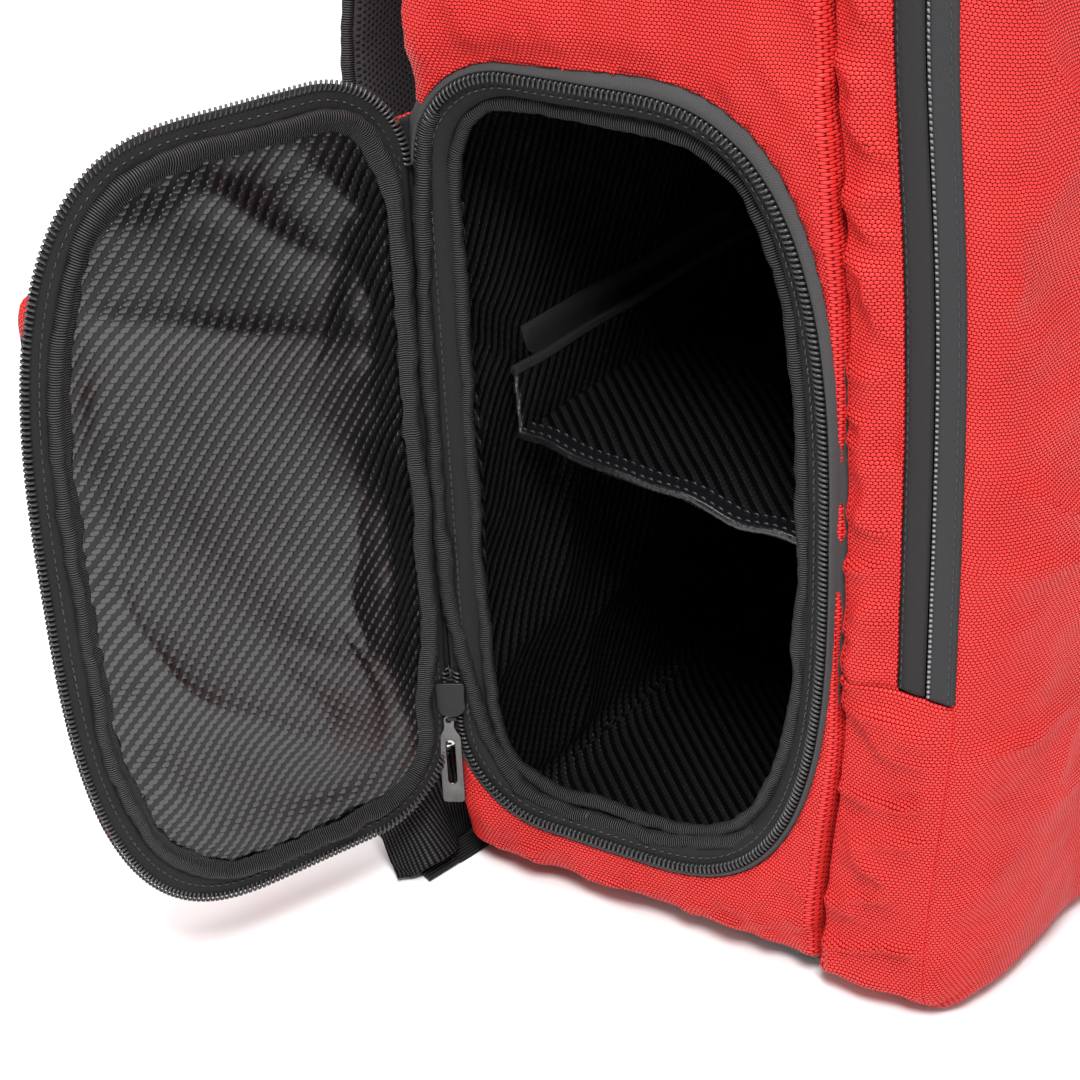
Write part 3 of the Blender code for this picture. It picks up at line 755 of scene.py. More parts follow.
def opening_loop(count=720):
    """The opening's outline: evenly spaced (along, up) points, outward directions and distances.
    It starts at the lower end of the hinge side and runs along the bottom, the front and the top."""
    half = (OPEN_HIGH - OPEN_LOW) / 2
    reach = OPEN_D / 2
    made = arc_points((CORNER_R, OPEN_LOW + CORNER_R), CORNER_R, 180, 270, 40)
    for angle in np.linspace(-math.pi / 2, math.pi / 2, 400)[1:-1]:
        c, s = math.cos(angle), math.sin(angle)
        made.append((reach + reach * abs(c) ** (2 / FRONT_POWER),
                     OPEN_MID + half * math.copysign(abs(s) ** (2 / FRONT_POWER), s)))
    made += arc_points((CORNER_R, OPEN_HIGH - CORNER_R), CORNER_R, 90, 180, 40)
    made.append(made[0])
    loop = evenly(made, count + 1)
    far = along_path(loop)[:-1]
    loop = loop[:-1]
    ahead = directions(loop, loop=True)
    for _ in range(3):
        ahead = unit(np.roll(ahead, 1, 0) + ahead + np.roll(ahead, -1, 0))
    return loop, np.stack([ahead[:, 1], -ahead[:, 0]], 1), far


LOOP, LOOP_OUT, LOOP_FAR = opening_loop()
LOOP_LENGTH = LOOP_FAR[-1] + float(np.linalg.norm(LOOP[0] - LOOP[-1]))
LOOP_MID = np.array([0.098, OPEN_MID])


def past_opening(along, up):
    """Signed distance outwards from the opening's outline, and the distance along it."""
    spots = np.stack([np.ravel(along), np.ravel(up)], 1)
    best = np.full(len(spots), 1e9)
    where = np.zeros(len(spots), int)
    for start in range(0, len(LOOP), 90):
        gap = np.linalg.norm(spots[:, None] - LOOP[None, start:start + 90], axis=2)
        nearest = gap.argmin(1)
        found = gap[np.arange(len(spots)), nearest]
        closer = found < best
        best[closer], where[closer] = found[closer], nearest[closer] + start
    signed = ((spots - LOOP[where]) * LOOP_OUT[where]).sum(1)
    return np.where(signed < 0, -best, best), LOOP_FAR[where]


LIP_LEAST = 0.0024
LIP_WIDER = 0.0056


def lip_width():
    """Width of the grey tape showing outside the coil: it widens round the top front corner."""
    angle = np.degrees(np.arctan2((LOOP[:, 1] - OPEN_MID) / 0.192, (LOOP[:, 0] - 0.1) / 0.1))
    return LIP_LEAST + LIP_WIDER * groove(angle - 66, 42.0)


LIP = lip_width()
LEFT, RIGHT = Side("left"), Side("right")


def to_side(side, points):
    """The mouth frame's (along, up, out) of points in the row frame."""
    along, out = side.mouth
    away = points - side.hinge
    return away @ along, away[:, 2], away @ out


# ---- the boot section ---------------------------------------------------------------------------
SHELL_MID_Y = (SEAM_Y + BACK_Y) / 2
BOX_HALF = 0.2                  # half width of the boot section's boxes before they are tapered
HALF_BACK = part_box("right_side_panel")[1].x + 0.0005


def half_width(y):
    """Half width of the boot section, tapering towards the front."""
    return HALF_BACK - (BACK_Y - y) * math.tan(TILT)


def lean(z):
    """How far the front zip and its seams bow backwards high on the bag."""
    return 0.0105 * groove(z - 0.49, 0.105)


def seam_shift(z):
    """How far the seam between the two sections steps back, high up and near the ground."""
    return lean(z) + 0.0090 * ease(0.15 - z, 0.0, 0.12)


def boot_shell():
    """The red fabric of the boot section, with puffed sides and a soft dip round each zip."""
    low = (-BOX_HALF, SEAM_Y - 0.001, SHELL_LOW.z)
    high = (BOX_HALF, BACK_Y, TOP_Z)
    radii = ((0.013, 0.013), (0.006, 0.018), (0.012, 0.015))
    box = cloth_box(low, high, radii, 0.0038)
    box.points[:, 0] *= half_width(box.points[:, 1]) / BOX_HALF
    box.cloth[:, 0] *= HALF_BACK / BOX_HALF
    x, y, z = box.points.T
    soft = layered(box.points, 0.075, 3.1)
    folds = creases(box.points, (0.09, 0.040, 0.060), 7.7)
    push = 0.0022 * soft + 0.0030 * folds
    top = ease(z, TOP_Z - 0.004, TOP_Z)
    inside = np.clip(1 - (x / 0.19) ** 2, 0, 1) * np.clip(1 - ((y - SHELL_MID_Y) / 0.1) ** 2, 0, 1)
    push = push - 0.0045 * top * inside
    push = np.where(z < SHELL_LOW.z + 0.02, push * 0.3, push)
    push = np.where(y > BACK_Y - 0.004, push * 0.35, push)
    for side in (LEFT, RIGHT):
        along, up, _ = to_side(side, box.points)
        facing = np.abs(box.normals[:, 0]) ** 3 * (np.sign(box.points[:, 0]) == side.sign)
        near, far = past_opening(along, up)
        near = near - np.interp(far, LOOP_FAR, LIP)
        rise = 0.0046 + 0.0040 * ease(near, 0.0005, 0.016) - 0.0040 * ease(near, 0.028, 0.075)
        rise = rise * ease(up, 0.006, 0.045) * ease(along, -0.004, 0.004)
        pucker = np.sin(far * 2 * np.pi / 0.0105 + 2.5 * noise(cells(box.points, 0.02, 5.0)))
        tight = groove(near - 0.004, 0.006)
        rise = rise + 0.0004 * pucker * tight
        lobe = groove(up - 0.072, 0.020) * groove(along + 0.006, 0.016)
        rise = (rise + 0.0050 * lobe) * (0.92 + 0.08 * ease(y - SEAM_Y, 0.001, 0.013))
        calm = ease(near, 0.0, 0.015)
        push = push * (1 - (1 - calm) * facing)
        low_fold = 0.0034 * calm * creases(box.points, (0.2, 0.045, 0.022), 2.2) * ease(0.07 - up, 0.0, 0.03)
        push = push + facing * (rise + low_fold)
    box.push(push)
    x, y, z = box.points.T
    box.points[:, 1] += seam_shift(z) * ease(-y, -0.020, -SEAM_Y)
    shell = box.build("red_boot_shell", RED)
    for side in (LEFT, RIGHT):
        cut_opening(shell, side, LIP + 0.0002, 0.0085)
    thicken(shell, CLOTH)
    dress(shell, "bag", "red_fabric", "boot_shell", "left_side_panel", "right_side_panel")
    return shell


CUT_REACH = 0.030               # how far the cut reaches outside the opening's plane
CUT_SLACK = 0.0006              # faces this near the cut's wall belong to the wall


def cut_opening(obj, side, offset, inner):
    """Cuts the door opening through one side of a closed sheet, offset outwards from the zip's line and
    from inner metres inside the opening's plane outwards."""
    offset = np.broadcast_to(offset, (len(LOOP),))[::3, None]
    ring_line = LOOP[::3] + LOOP_OUT[::3] * offset
    depth = np.array([-inner, CUT_REACH])
    out = depth[None] + 0 * ring_line[:, :1]
    points = side.place("mouth", ring_line[:, None, 0], ring_line[:, None, 1], out)
    uv = np.zeros((len(ring_line) + 1, 2, 2))
    knife = grid("knife", points, uv, RED, loop_u=True)
    close_holes(knife, [np.arange(len(ring_line)) * 2 + j for j in (0, 1)])
    tool = obj.modifiers.new("opening", "BOOLEAN")
    tool.object = knife
    tool.operation = "DIFFERENCE"
    settle(obj)
    bpy.data.objects.remove(knife)
    with editing(obj.data) as bm:
        middles = np.array([f.calc_center_median()[:] for f in bm.faces])
        facing = np.abs(np.array([f.normal[:] for f in bm.faces]) @ side.mouth[1])
        along, up, out = to_side(side, middles)
        past, far = past_opening(along, up)
        past = past - np.interp(far, LOOP_FAR[::3], offset[:, 0])
        inside = (past < -CUT_SLACK) | ((past < CUT_SLACK) & (facing < 0.25))
        inside = inside & (out > -inner - 0.0005) & (out < CUT_REACH + 0.0005)
        gone = [f for f, drop in zip(bm.faces, inside) if drop]
        bmesh.ops.delete(bm, geom=gone, context="FACES")


# ---- the front section --------------------------------------------------------------------------
SPLIT_Y = (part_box("front_zip_tape")[0].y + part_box("flap_zip_tape")[1].y) / 2
CORNER_SEAM_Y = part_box("flap_zip_tape")[0].y - 0.0006
GUSSET_ZIP_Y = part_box("front_zip_tape")[1].y
FRONT_HALF = FRONT_HIGH.x
FRONT_FOOT = 0.0022             # the front section's fabric sags to the ground in front of the base
FRONT_BULGE = 0.0255


def pillow(distance, reach):
    """A stuffed edge: 0 at the seam, 1 from reach inwards, steep at first."""
    t = np.clip(np.asarray(distance) / reach, 0, 1)
    return np.sqrt(np.clip(1 - (1 - t) ** 2, 0, 1))


def pillow_lines(low, high, reach, step):
    """Places along a stuffed side, closer together near its steep edges."""
    turn = np.linspace(0, math.pi / 2, 26)
    curl = reach * (1 - np.cos(turn))
    flat = np.arange(low + reach, high - reach, step)[1:]
    return np.concatenate([low + curl, flat, (high - curl)[::-1]])


def corner_seam(z):
    """Where the front panel is sewn on: the seam steps back a little below the zip's end."""
    return CORNER_SEAM_Y + 0.0100 * ease(FLAP_Z - z, -0.006, 0.150) + lean(z)


def front_depth(x, z):
    """Y of the stuffed front panel's face."""
    edge_x = FRONT_HALF - np.abs(x)
    low = z - FRONT_FOOT
    high = FRONT_HIGH.z - z
    spot = flat_spots(x, z)
    foot = 0.62 * pillow(low, 0.012) + 0.38 * pillow(low, 0.070)
    stuffed = pillow(edge_x, 0.060) * foot * pillow(high, 0.055)
    inner = pillow(edge_x, 0.030) * pillow(low, 0.030) * pillow(high, 0.030)
    slope = (edge_x * 0.62 + (z - 0.39) * 0.78)
    crease = groove(slope, 0.013) * ease(edge_x, 0.0, 0.02) * ease(0.11 - edge_x, 0.0, 0.06)
    wave = 0.0044 * layered(spot, (0.105, 1.0, 0.070), 1.3) + 0.0064 * creases(spot, (0.15, 1.0, 0.085), 4.4)
    edge_wave = 0.0018 * layered(spot, (0.045, 1.0, 0.022), 8.8) * groove(edge_x - 0.016, 0.014)
    face = corner_seam(z) - 0.0004 - FRONT_BULGE * stuffed
    return face - inner * wave - edge_wave + 0.0050 * crease * inner


def rounded_rect(x, z, low, high, corner):
    """Moves a square grid's corners onto round ones."""
    x, z = x.copy(), z.copy()
    for sx in (-1, 1):
        for sz in (-1, 1):
            cx = (high[0] if sx > 0 else low[0]) - sx * corner
            cz = (high[1] if sz > 0 else low[1]) - sz * corner
            dx, dz = (x - cx) * sx, (z - cz) * sz
            inside = (dx > 0) & (dz > 0)
            far = np.maximum(dx, dz)
            length = np.maximum(np.hypot(dx, dz), 1e-9)
            x = np.where(inside, cx + sx * dx * far / length, x)
            z = np.where(inside, cz + sz * dz * far / length, z)
    return x, z


def cloth_of(points):
    """Cloth coordinates of a grid: distance walked along its rows and along its columns."""
    rows = np.linalg.norm(np.diff(points, axis=0), axis=2)
    columns = np.linalg.norm(np.diff(points, axis=1), axis=2)
    u = np.concatenate([0 * rows[:1], np.cumsum(rows, 0)])
    v = np.concatenate([0 * columns[:, :1], np.cumsum(columns, 1)], 1)
    middle = points.shape[0] // 2, points.shape[1] // 2
    return np.stack([u - u[middle[0]][None], v - v[:, middle[1]][:, None]], -1)


def front_panel():
    """The stuffed front panel, one cloth from top to bottom."""
    low, high = (-FRONT_HALF, FRONT_FOOT), (FRONT_HALF, FRONT_HIGH.z)
    xs = pillow_lines(low[0], high[0], 0.060, 0.0036)
    zs = pillow_lines(low[1], high[1], 0.055, 0.0036)
    fine = low[1] + 0.012 * (1 - np.cos(np.linspace(0, math.pi / 2, 14)))
    zs = np.concatenate([fine, zs[zs > fine[-1] + 0.0012]])
    xs = np.concatenate([xs[:1], xs, xs[-1:]])
    zs = np.concatenate([zs[:1], zs, zs[-1:]])
    x, z = crossed(xs, zs)
    y = front_depth(x, z)
    x, z = rounded_rect(x, z, low, high, 0.020)
    for rim in (np.s_[0, :], np.s_[-1, :], np.s_[:, 0], np.s_[:, -1]):
        x[rim], y[rim] = x[rim] * 0.993, y[rim] + 0.0045
    points = np.stack([x, y, z], -1)
    panel = grid("red_front_panel", points, cloth_of(points), RED)
    thicken(panel, CLOTH)
    settle(panel)
    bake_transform(panel)
    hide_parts("front_flap")


def front_gusset():
    """The band of fabric round the front section: whole below the flap, up to the zip above it."""
    low = (-FRONT_HALF, CORNER_SEAM_Y, FRONT_FOOT)
    high = (FRONT_HALF, SEAM_Y + 0.001, FRONT_HIGH.z)
    radii = ((0.021, 0.021), (0.0012, 0.006), (0.018, 0.020))
    extra = ((), (GUSSET_ZIP_Y,), (FLAP_Z,))
    box = cloth_box(low, high, radii, 0.0030, extra)
    _, y, z = box.points.T
    mid = (y - CORNER_SEAM_Y) / (SEAM_Y - CORNER_SEAM_Y)
    above = ease(z - FLAP_Z, -0.012, 0.012)
    swell = 0.0052 * np.clip(1 - (2 * mid - 1) ** 2, 0, 1) * (1 - above)
    swell = swell + 0.0042 * groove(y - (GUSSET_ZIP_Y + SEAM_Y) / 2, 0.009) * above
    folds = 0.0028 * layered(box.points, (0.06, 0.06, 0.034), 6.6)
    folds = folds + 0.0046 * creases(box.points, (0.2, 0.060, 0.030), 9.1)
    seam = -0.0018 * groove(z - FLAP_Z, 0.0016)
    by_zip = 1 - above * groove(y - GUSSET_ZIP_Y, 0.0045)
    push = (swell + folds * ease(mid, 0.0, 0.2) * ease(1 - mid, 0.0, 0.12)) * by_zip
    push = push + seam + 0.0018 * (1 - by_zip)
    bottom = ease(-box.normals[:, 2], 0.3, 0.8)
    push = push * (1 - bottom)
    box.push(push)
    high_z = box.points[:, 2]
    back = corner_seam(high_z) - CORNER_SEAM_Y - lean(high_z)
    share = np.clip(mid, 0, 1)
    box.points[:, 1] += back * (1 - share) + lean(high_z) * (1 - share) + seam_shift(high_z) * share
    whole = box.build("front_whole", RED)
    limit = CORNER_SEAM_Y + 0.0002
    fixed = keep_faces(whole, "red_front_gusset", box.flat, lambda flat: flat[1] > limit and (
        flat[2] < FLAP_Z or flat[1] > GUSSET_ZIP_Y) and flat[1] < SEAM_Y + 0.0004)
    bpy.data.objects.remove(whole)
    thicken(fixed, CLOTH)
    dress(fixed, "bag", "red_fabric", "front_compartment")


def keep_faces(source, name, flat, test):
    """A copy of a rounded box with only the faces whose unrounded middle passes the test."""
    obj = source.copy()
    obj.data = source.data.copy()
    obj.name = name
    bpy.context.scene.collection.objects.link(obj)
    with editing(obj.data) as bm:
        gone = [f for f in bm.faces if not test(np.mean([flat[v.index] for v in f.verts], axis=0))]
        bmesh.ops.delete(bm, geom=gone, context="FACES")
    return obj


def arch(offset, low=None, corner=0.021):
    """The line up one side of the front section, over its top and down the other, offset outwards."""
    low = FLAP_Z + 0.0012 if low is None else low
    half = FRONT_HALF + offset
    top = FRONT_HIGH.z + offset
    radius = corner + offset
    line = [(-half, low), (-half, top - radius)]
    line += arc_points((-half + radius, top - radius), radius, 180, 90, 14)
    line += arc_points((half - radius, top - radius), radius, 90, 0, 14)
    line += [(half, top - radius), (half, low)]
    line = evenly(line, 520)
    return np.stack([line[:, 0], 0 * line[:, 0], line[:, 1]], 1)


def arch_strip(name, ys, lifts, mat, wobble=0.0):
    base = arch(0.0)
    away = arch(0.001) - base
    away = unit(away)
    far = along_path(base)
    lift = np.asarray(lifts)[None] + 0 * far[:, None]
    if wobble:
        spots = np.stack([far[:, None] + 0 * lift, np.asarray(ys)[None] + 0 * lift, 0 * lift], -1)
        lift = lift + wobble * layered(spots, (0.04, 0.015, 1.0), len(name))
    points = base[:, None] + away[:, None] * lift[..., None]
    points[..., 1] = np.asarray(ys)[None] + lean(base[:, 2:3])
    wide = np.asarray(ys) - ys[0]
    uv = spread(far, wide)
    return grid(name, points, uv, mat, flip=ys[-1] < ys[0])


def front_zip():
    """The two halves of the front section's zip, its row of teeth and its sliders."""
    near, far_y = GUSSET_ZIP_Y + 0.0030, SPLIT_Y + 0.0003
    ys = np.linspace(near, far_y, 9)
    lifts = (-0.0012, 0.0000, 0.0008, 0.0012, 0.0015, 0.0016, 0.0017, 0.0015, 0.0006)
    fixed = arch_strip("front_band_fixed", ys, lifts, FRONT_TAPE, 0.0002)
    thicken(fixed, 0.0009)
    dress(fixed, "bag", "zip_tape", "front_zip_tape")
    ys = np.linspace(SPLIT_Y - 0.0003, CORNER_SEAM_Y - 0.0002, 9)
    lifts = (0.0006, 0.0015, 0.0019, 0.0018, 0.0016, 0.0016, 0.0017, 0.0014, 0.0002)
    moving = arch_strip("front_band_flap", ys, lifts, FRONT_TAPE_LIGHT, 0.0002)
    thicken(moving, 0.0009)
    dress(moving, "front_flap", "zip_tape", "flap_zip_tape")
    rows = (("front_teeth", SPLIT_Y - 0.0020, "front_flap", "flap_zip_tape", 0.00085),
            ("front_sewing_a", GUSSET_ZIP_Y - 0.0018, "bag", "front_zip_tape", 0.0003),
            ("front_sewing_b", CORNER_SEAM_Y + 0.0022, "front_flap", "flap_zip_tape", 0.0003))
    for piece, y, body, node, radius in rows:
        path = arch(0.0018)
        path[:, 1] = y + lean(path[:, 2])
        away = unit(arch(0.0028) - arch(0.0018))
        toothed = radius > 0.0005
        made = stitches(piece, path, away, FRONT_COIL if toothed else THREAD, 0.0016 if toothed else 0.0030,
                        0.0009 if toothed else 0.0012, radius)
        dress(made, body, "zip_tape", node)
    for side in (LEFT, RIGHT):
        name = side.name
        s = side.sign
        low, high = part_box(name + "_front_slider")
        origin = ((low.x + high.x) / 2, (low.y + high.y) / 2, low.z)
        axes = ((0, s, 0), (-s, 0, 0), (0, 0, 1))
        slider(name + "_front_runner", name + "_front_slider", origin, axes, FRONT_SLIDER)
        pivot = JOINTS[name + "_front_pull_lift"]["pos_m"]
        pull(name + "_front_tag", name + "_front_pull", pivot, axes, *FRONT_PULL)


def lower_pocket():
    """The stuffed pocket low on the front panel, with a bound top edge."""
    low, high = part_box("front_lower_pocket")
    corner = 0.018
    xs = pillow_lines(low.x, high.x, 0.030, 0.0036)
    zs = pillow_lines(low.z, high.z, 0.030, 0.0036)
    x, z = crossed(xs, zs)
    stuffed = pillow(high.x - np.abs(x), 0.030) * pillow(z - low.z, 0.030) * pillow(high.z + 0.006 - z, 0.030)
    spot = flat_spots(x, z)
    wave = 0.0014 * layered(spot, (0.05, 1, 0.03), 3.3) + 0.0018 * creases(spot, (0.09, 1, 0.03), 6.1)
    x, z = rounded_rect(x, z, (low.x, low.z), (high.x, high.z), corner)
    y = front_depth(x, z) + 0.0008 - 0.0118 * stuffed - wave * ease(stuffed, 0.1, 0.7)
    points = np.stack([x, y, z], -1)
    piece = grid("red_lower_pocket", points, cloth_of(points), RED)
    thicken(piece, CLOTH)
    dress(piece, "bag", "red_fabric", "front_lower_pocket")
    loop = evenly(round_corners((low.x, low.z), (high.x, high.z), corner, corner - 0.002, 8), 300)
    seam = np.stack([loop[:, 0], front_depth(loop[:, 0], loop[:, 1]) - 0.0022, loop[:, 1]], 1)
    sewn = stitches("lower_pocket_sewing", seam, (0, -1, 0), RED_THREAD)
    dress(sewn, "bag", "red_fabric", "front_lower_pocket")


# ---- inside -------------------------------------------------------------------------------------
FLOOR_TURN = math.radians(12)   # how far the lining's strands lean over on level faces


def boot_lining():
    """The coated lining of the boot space: slack walls, open at both mouths."""
    low = (-BOX_HALF, SEAM_Y + LINING_GAP, SHELL_LOW.z + LINING_GAP)
    high = (BOX_HALF, BACK_Y - LINING_GAP, TOP_Z - LINING_SIDE_GAP)
    radii = ((0.010, 0.010), (0.010, 0.016), (0.014, 0.014))
    box = cloth_box(low, high, radii, 0.0040)
    box.points[:, 0] *= (half_width(box.points[:, 1]) - LINING_SIDE_GAP) / BOX_HALF
    z = box.points[:, 2]
    slack = 0.0034 * layered(box.points, (0.11, 0.11, 0.10), 12.0, 1)
    slack = slack + 0.0050 * creases(box.points, (0.16, 0.13, 0.15), 15.0)
    sideways = ease(np.abs(box.normals[:, 0]), 0.6, 0.9)
    box.push(-np.abs(slack) * (1 - 0.7 * sideways) * ease(z, low[2], low[2] + 0.02))
    lining = box.build("lining_walls", LINING)
    turn_cloth(lining, lambda normal: abs(normal.z) > 0.7, FLOOR_TURN)
    for side in (LEFT, RIGHT):
        cut_opening(lining, side, -0.0170, 0.030)
    dress(lining, "bag", "coated_lining", "boot_lining")


def turn_cloth(obj, test, angle):
    """Turns the cloth direction on the faces whose normal passes the test."""
    mesh = obj.data
    layer = mesh.uv_layers["cloth"].data
    c, s = math.cos(angle), math.sin(angle)
    for face in mesh.polygons:
        if test(face.normal):
            for index in face.loop_indices:
                u, v = layer[index].uv
                layer[index].uv = (u * c - v * s, u * s + v * c)


SHELF_LOW, SHELF_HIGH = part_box("divider_shelf")
SHELF_MID = (SHELF_LOW.z + SHELF_HIGH.z) / 2


def shelf_level(x, y):
    """Height of the shelf's cloth: level in the middle, drooping forwards at its free sides."""
    out = ease(np.abs(x), 0.050, 0.168)
    forward = np.clip((SHELF_HIGH.y - y) / (SHELF_HIGH.y - SHELF_LOW.y), 0, 1)
    spot = np.stack([x, y, 0 * x], -1)
    wave = 0.0012 * np.sin(forward * 15.0 + 1.0) * ease(np.abs(x), 0.12, 0.168) * ease(forward, 0.0, 0.15)
    level = SHELF_MID + 0.0014 - 0.0165 * out * forward ** 0.9
    return level + wave + 0.0010 * layered(spot, (0.07, 0.05, 1), 5.0)


def fold_at_hinge(piece):
    """The shelf's front edge is sewn to the bag; this bakes the piece's placement into its mesh and hides the
    CAD shelf.
    """
    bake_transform(piece)
    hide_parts("divider_shelf")


def divider():
    """The folding shelf between the boots: coated cloth with stitched hems and a flange at the back."""
    xs = np.linspace(SHELF_LOW.x, SHELF_HIGH.x, 92)
    ys = np.linspace(SHELF_LOW.y, SHELF_HIGH.y, 60)
    x, y = crossed(xs, ys)
    points = np.stack([x, y, shelf_level(x, y)], -1)
    c, s = math.cos(FLOOR_TURN), math.sin(FLOOR_TURN)
    uv = np.stack([x * c - y * s, x * s + y * c], -1)
    shelf = grid("shelf_cloth", points, uv, LINING)
    thicken(shelf, 0.0022, 0.0)
    fold_at_hinge(settle(shelf))
    for side in (LEFT, RIGHT):
        edge_y = np.linspace(SHELF_HIGH.y - 0.001, SHELF_LOW.y + 0.001, 140)
        edge_x = side.sign * (SHELF_HIGH.x - 0.0060) + 0 * edge_y
        line = np.stack([edge_x, edge_y, shelf_level(edge_x, edge_y) + 0.0002], 1)
        line[:, 2] += 0.0009 * np.sin(along_path(line) * 140.0) * ease(SHELF_HIGH.y - edge_y, 0, 0.02)
        section = rounded_section(0.0135, 0.0046, 0.0021, 4)
        fold_at_hinge(swept(f"{side.name}_shelf_hem", line, (1, 0, 0), section, HEM))
        for i, shift in enumerate((-0.0036, 0.0034)):
            for part, level, up in (("stitch", 0.0026, (0, 0, 1)), ("under", -0.0020, (0, 0, -1))):
                sewn = line + np.array([shift, 0.0, level])
                row_name = f"{side.name}_shelf_{part}_{i}"
                fold_at_hinge(stitches(row_name, sewn, up, THREAD, 0.0034, 0.0014, 0.0005))
    low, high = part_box("divider_flange")
    zs = np.linspace(SHELF_MID, high.z, 16)
    x, z = crossed(xs, zs)
    spot = flat_spots(x, z)
    rise = ease(z, SHELF_MID, high.z)
    y = (low.y + high.y) / 2 - 0.0012 * rise * layered(spot, (0.05, 1, 0.05), 2.0) - 0.0008
    points = np.stack([x, y, z], -1)
    flange = grid("shelf_flange", points, np.stack([x, z], -1), LINING)
    thicken(flange, 0.0018, 0.0)
    dress(flange, "divider", "coated_lining", "divider_flange")
    top = points[:, -1]
    bound = swept("shelf_flange_binding", top, (0, 1, 0), rounded_section(0.0036, 0.0052, 0.0016), GROSGRAIN)
    dress(bound, "divider", "grosgrain", "divider_flange")
    low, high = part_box("hook_strip")
    xs = np.linspace(low.x, high.x, 120)
    zs = np.linspace(low.z, high.z, 14)
    x, z = crossed(xs, zs)
    edge = inset(x, z, (low.x, low.z), (high.x, high.z))
    y = high.y - 0.0018 * ease(edge, -0.0005, 0.003)
    y = y - 0.0003 * layered(flat_spots(x, z), 0.004, 1.0)
    strip = grid("hook_pile", np.stack([x, y, z], -1), np.stack([x, z], -1), PILE)
    thicken(strip, 0.0012)
    dress(strip, "bag", "hook_and_loop", "hook_strip")


def gear_lining():
    """The wall between the boot space and the front compartment, seen when the flap is down."""
    xs = np.linspace(-FRONT_HALF + 0.004, FRONT_HALF - 0.004, 110)
    zs = np.linspace(FRONT_LOW.z + 0.004, FRONT_HIGH.z - 0.004, 140)
    x, z = crossed(xs, zs)
    x, z = rounded_rect(x, z, (xs[0], zs[0]), (xs[-1], zs[-1]), 0.018)
    spot = flat_spots(x, z)
    y = SEAM_Y - 0.0040 - 0.0016 * layered(spot, (0.07, 1, 0.06), 3.0)
    y = y - 0.0022 * creases(spot, (0.1, 1, 0.07), 6.0)
    wall = grid("gear_back_wall", np.stack([x, y, z], -1), np.stack([x, z], -1), LINING)
    thicken(wall, LINING_CLOTH)
    dress(wall, "bag", "coated_lining", "front_compartment")


# ---- base, carrying straps and handle -----------------------------------------------------------
def base():
    """The hard-wearing base with its piping."""
    low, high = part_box("base_tray")
    low.y = SEAM_Y - 0.004
    radii = ((0.022, 0.022), (0.022, 0.022), (0.0030, 0.0026))
    box = cloth_box(low, high, radii, 0.006)
    foot = ease(-box.normals[:, 2], 0.5, 0.9)
    box.push(-foot * 0.0004 * (0.5 + 0.5 * layered(box.points, 0.03, 2.0)))
    box.points[:, 2] = np.maximum(box.points[:, 2], 0.0)
    tray = box.build("base_slab", RUBBER)
    dress(tray, "bag", "base_rubber", "base_tray")
    half, y_low, y_high = high.x + 0.0040, low.y + 0.001, high.y + 0.0060
    loop = evenly(round_corners((-half, y_low), (half, y_high), 0.020), 421)[:-1]
    path = np.stack([loop[:, 0], loop[:, 1], 0 * loop[:, 0] + 0.0092], 1)
    path[:, 2] += 0.0005 * layered(path, 0.05, 9.0)
    bead = swept("base_piping", path, (0, 0, 1), oval_section(0.0030, 0.0030, 10), PIPING, loop=True)
    dress(bead, "bag", "base_rubber", "base_tray")


def cushion(name, low, high, radii, node, seed=0.0, channels=(), lift=0.004):
    """A stuffed pad filling a box: crowned on its +Y face, with sewn channels across it."""
    box = cloth_box(low, high, radii, 0.0040)
    x, _, z = box.points.T
    edge = inset(x, z, (low[0], low[2]), (high[0], high[2]))
    outer = ease(box.normals[:, 1], 0.4, 0.9)
    push = outer * (lift * ease(edge, 0.0, 0.035) - lift * 0.55) + 0.0007 * layered(box.points, 0.035, seed)
    for height in channels:
        push = push - outer * 0.0040 * groove(z - height, 0.0042)
    push = np.where(box.normals[:, 1] < -0.3, 0.0, push)
    box.push(push)
    pad = box.build(name, MESH_PAD)
    dress(pad, "bag", "mesh_padding", node)


def edge_binding(name, low, high, node):
    """Binding round a pad that lies against the back."""
    loop = evenly(round_corners((low.x, low.z), (high.x, high.z), 0.017), 361)[:-1]
    path = np.stack([loop[:, 0], 0 * loop[:, 0] + low.y + 0.0035, loop[:, 1]], 1)
    bound = rope(name, path, (0, 1, 0), 0.0026, 0.0, seed=len(name), loop=True)
    dress(bound, "bag", "grosgrain", node)


def back_padding():
    pads = (("left_back", "left_back_pad", (0.018, 0.009), -1.0, (0.088, 0.176)),
            ("right_back", "right_back_pad", (0.018, 0.009), 1.0, (0.088, 0.176)),
            ("lumbar", "lumbar_pad", (0.020, 0.010), 3.0, (0.058,)))
    for part, node, (side_r, face_r), seed, rows in pads:
        low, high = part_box(node)
        channels = [low.z + row for row in rows]
        cushion(part + "_cushion", (low.x, low.y - 0.001, low.z), (high.x, high.y - 0.001, high.z),
                ((side_r, side_r), (0.002, face_r), (0.018, 0.018)), node, seed, channels)
        edge_binding(part + "_piping", low, high, node)


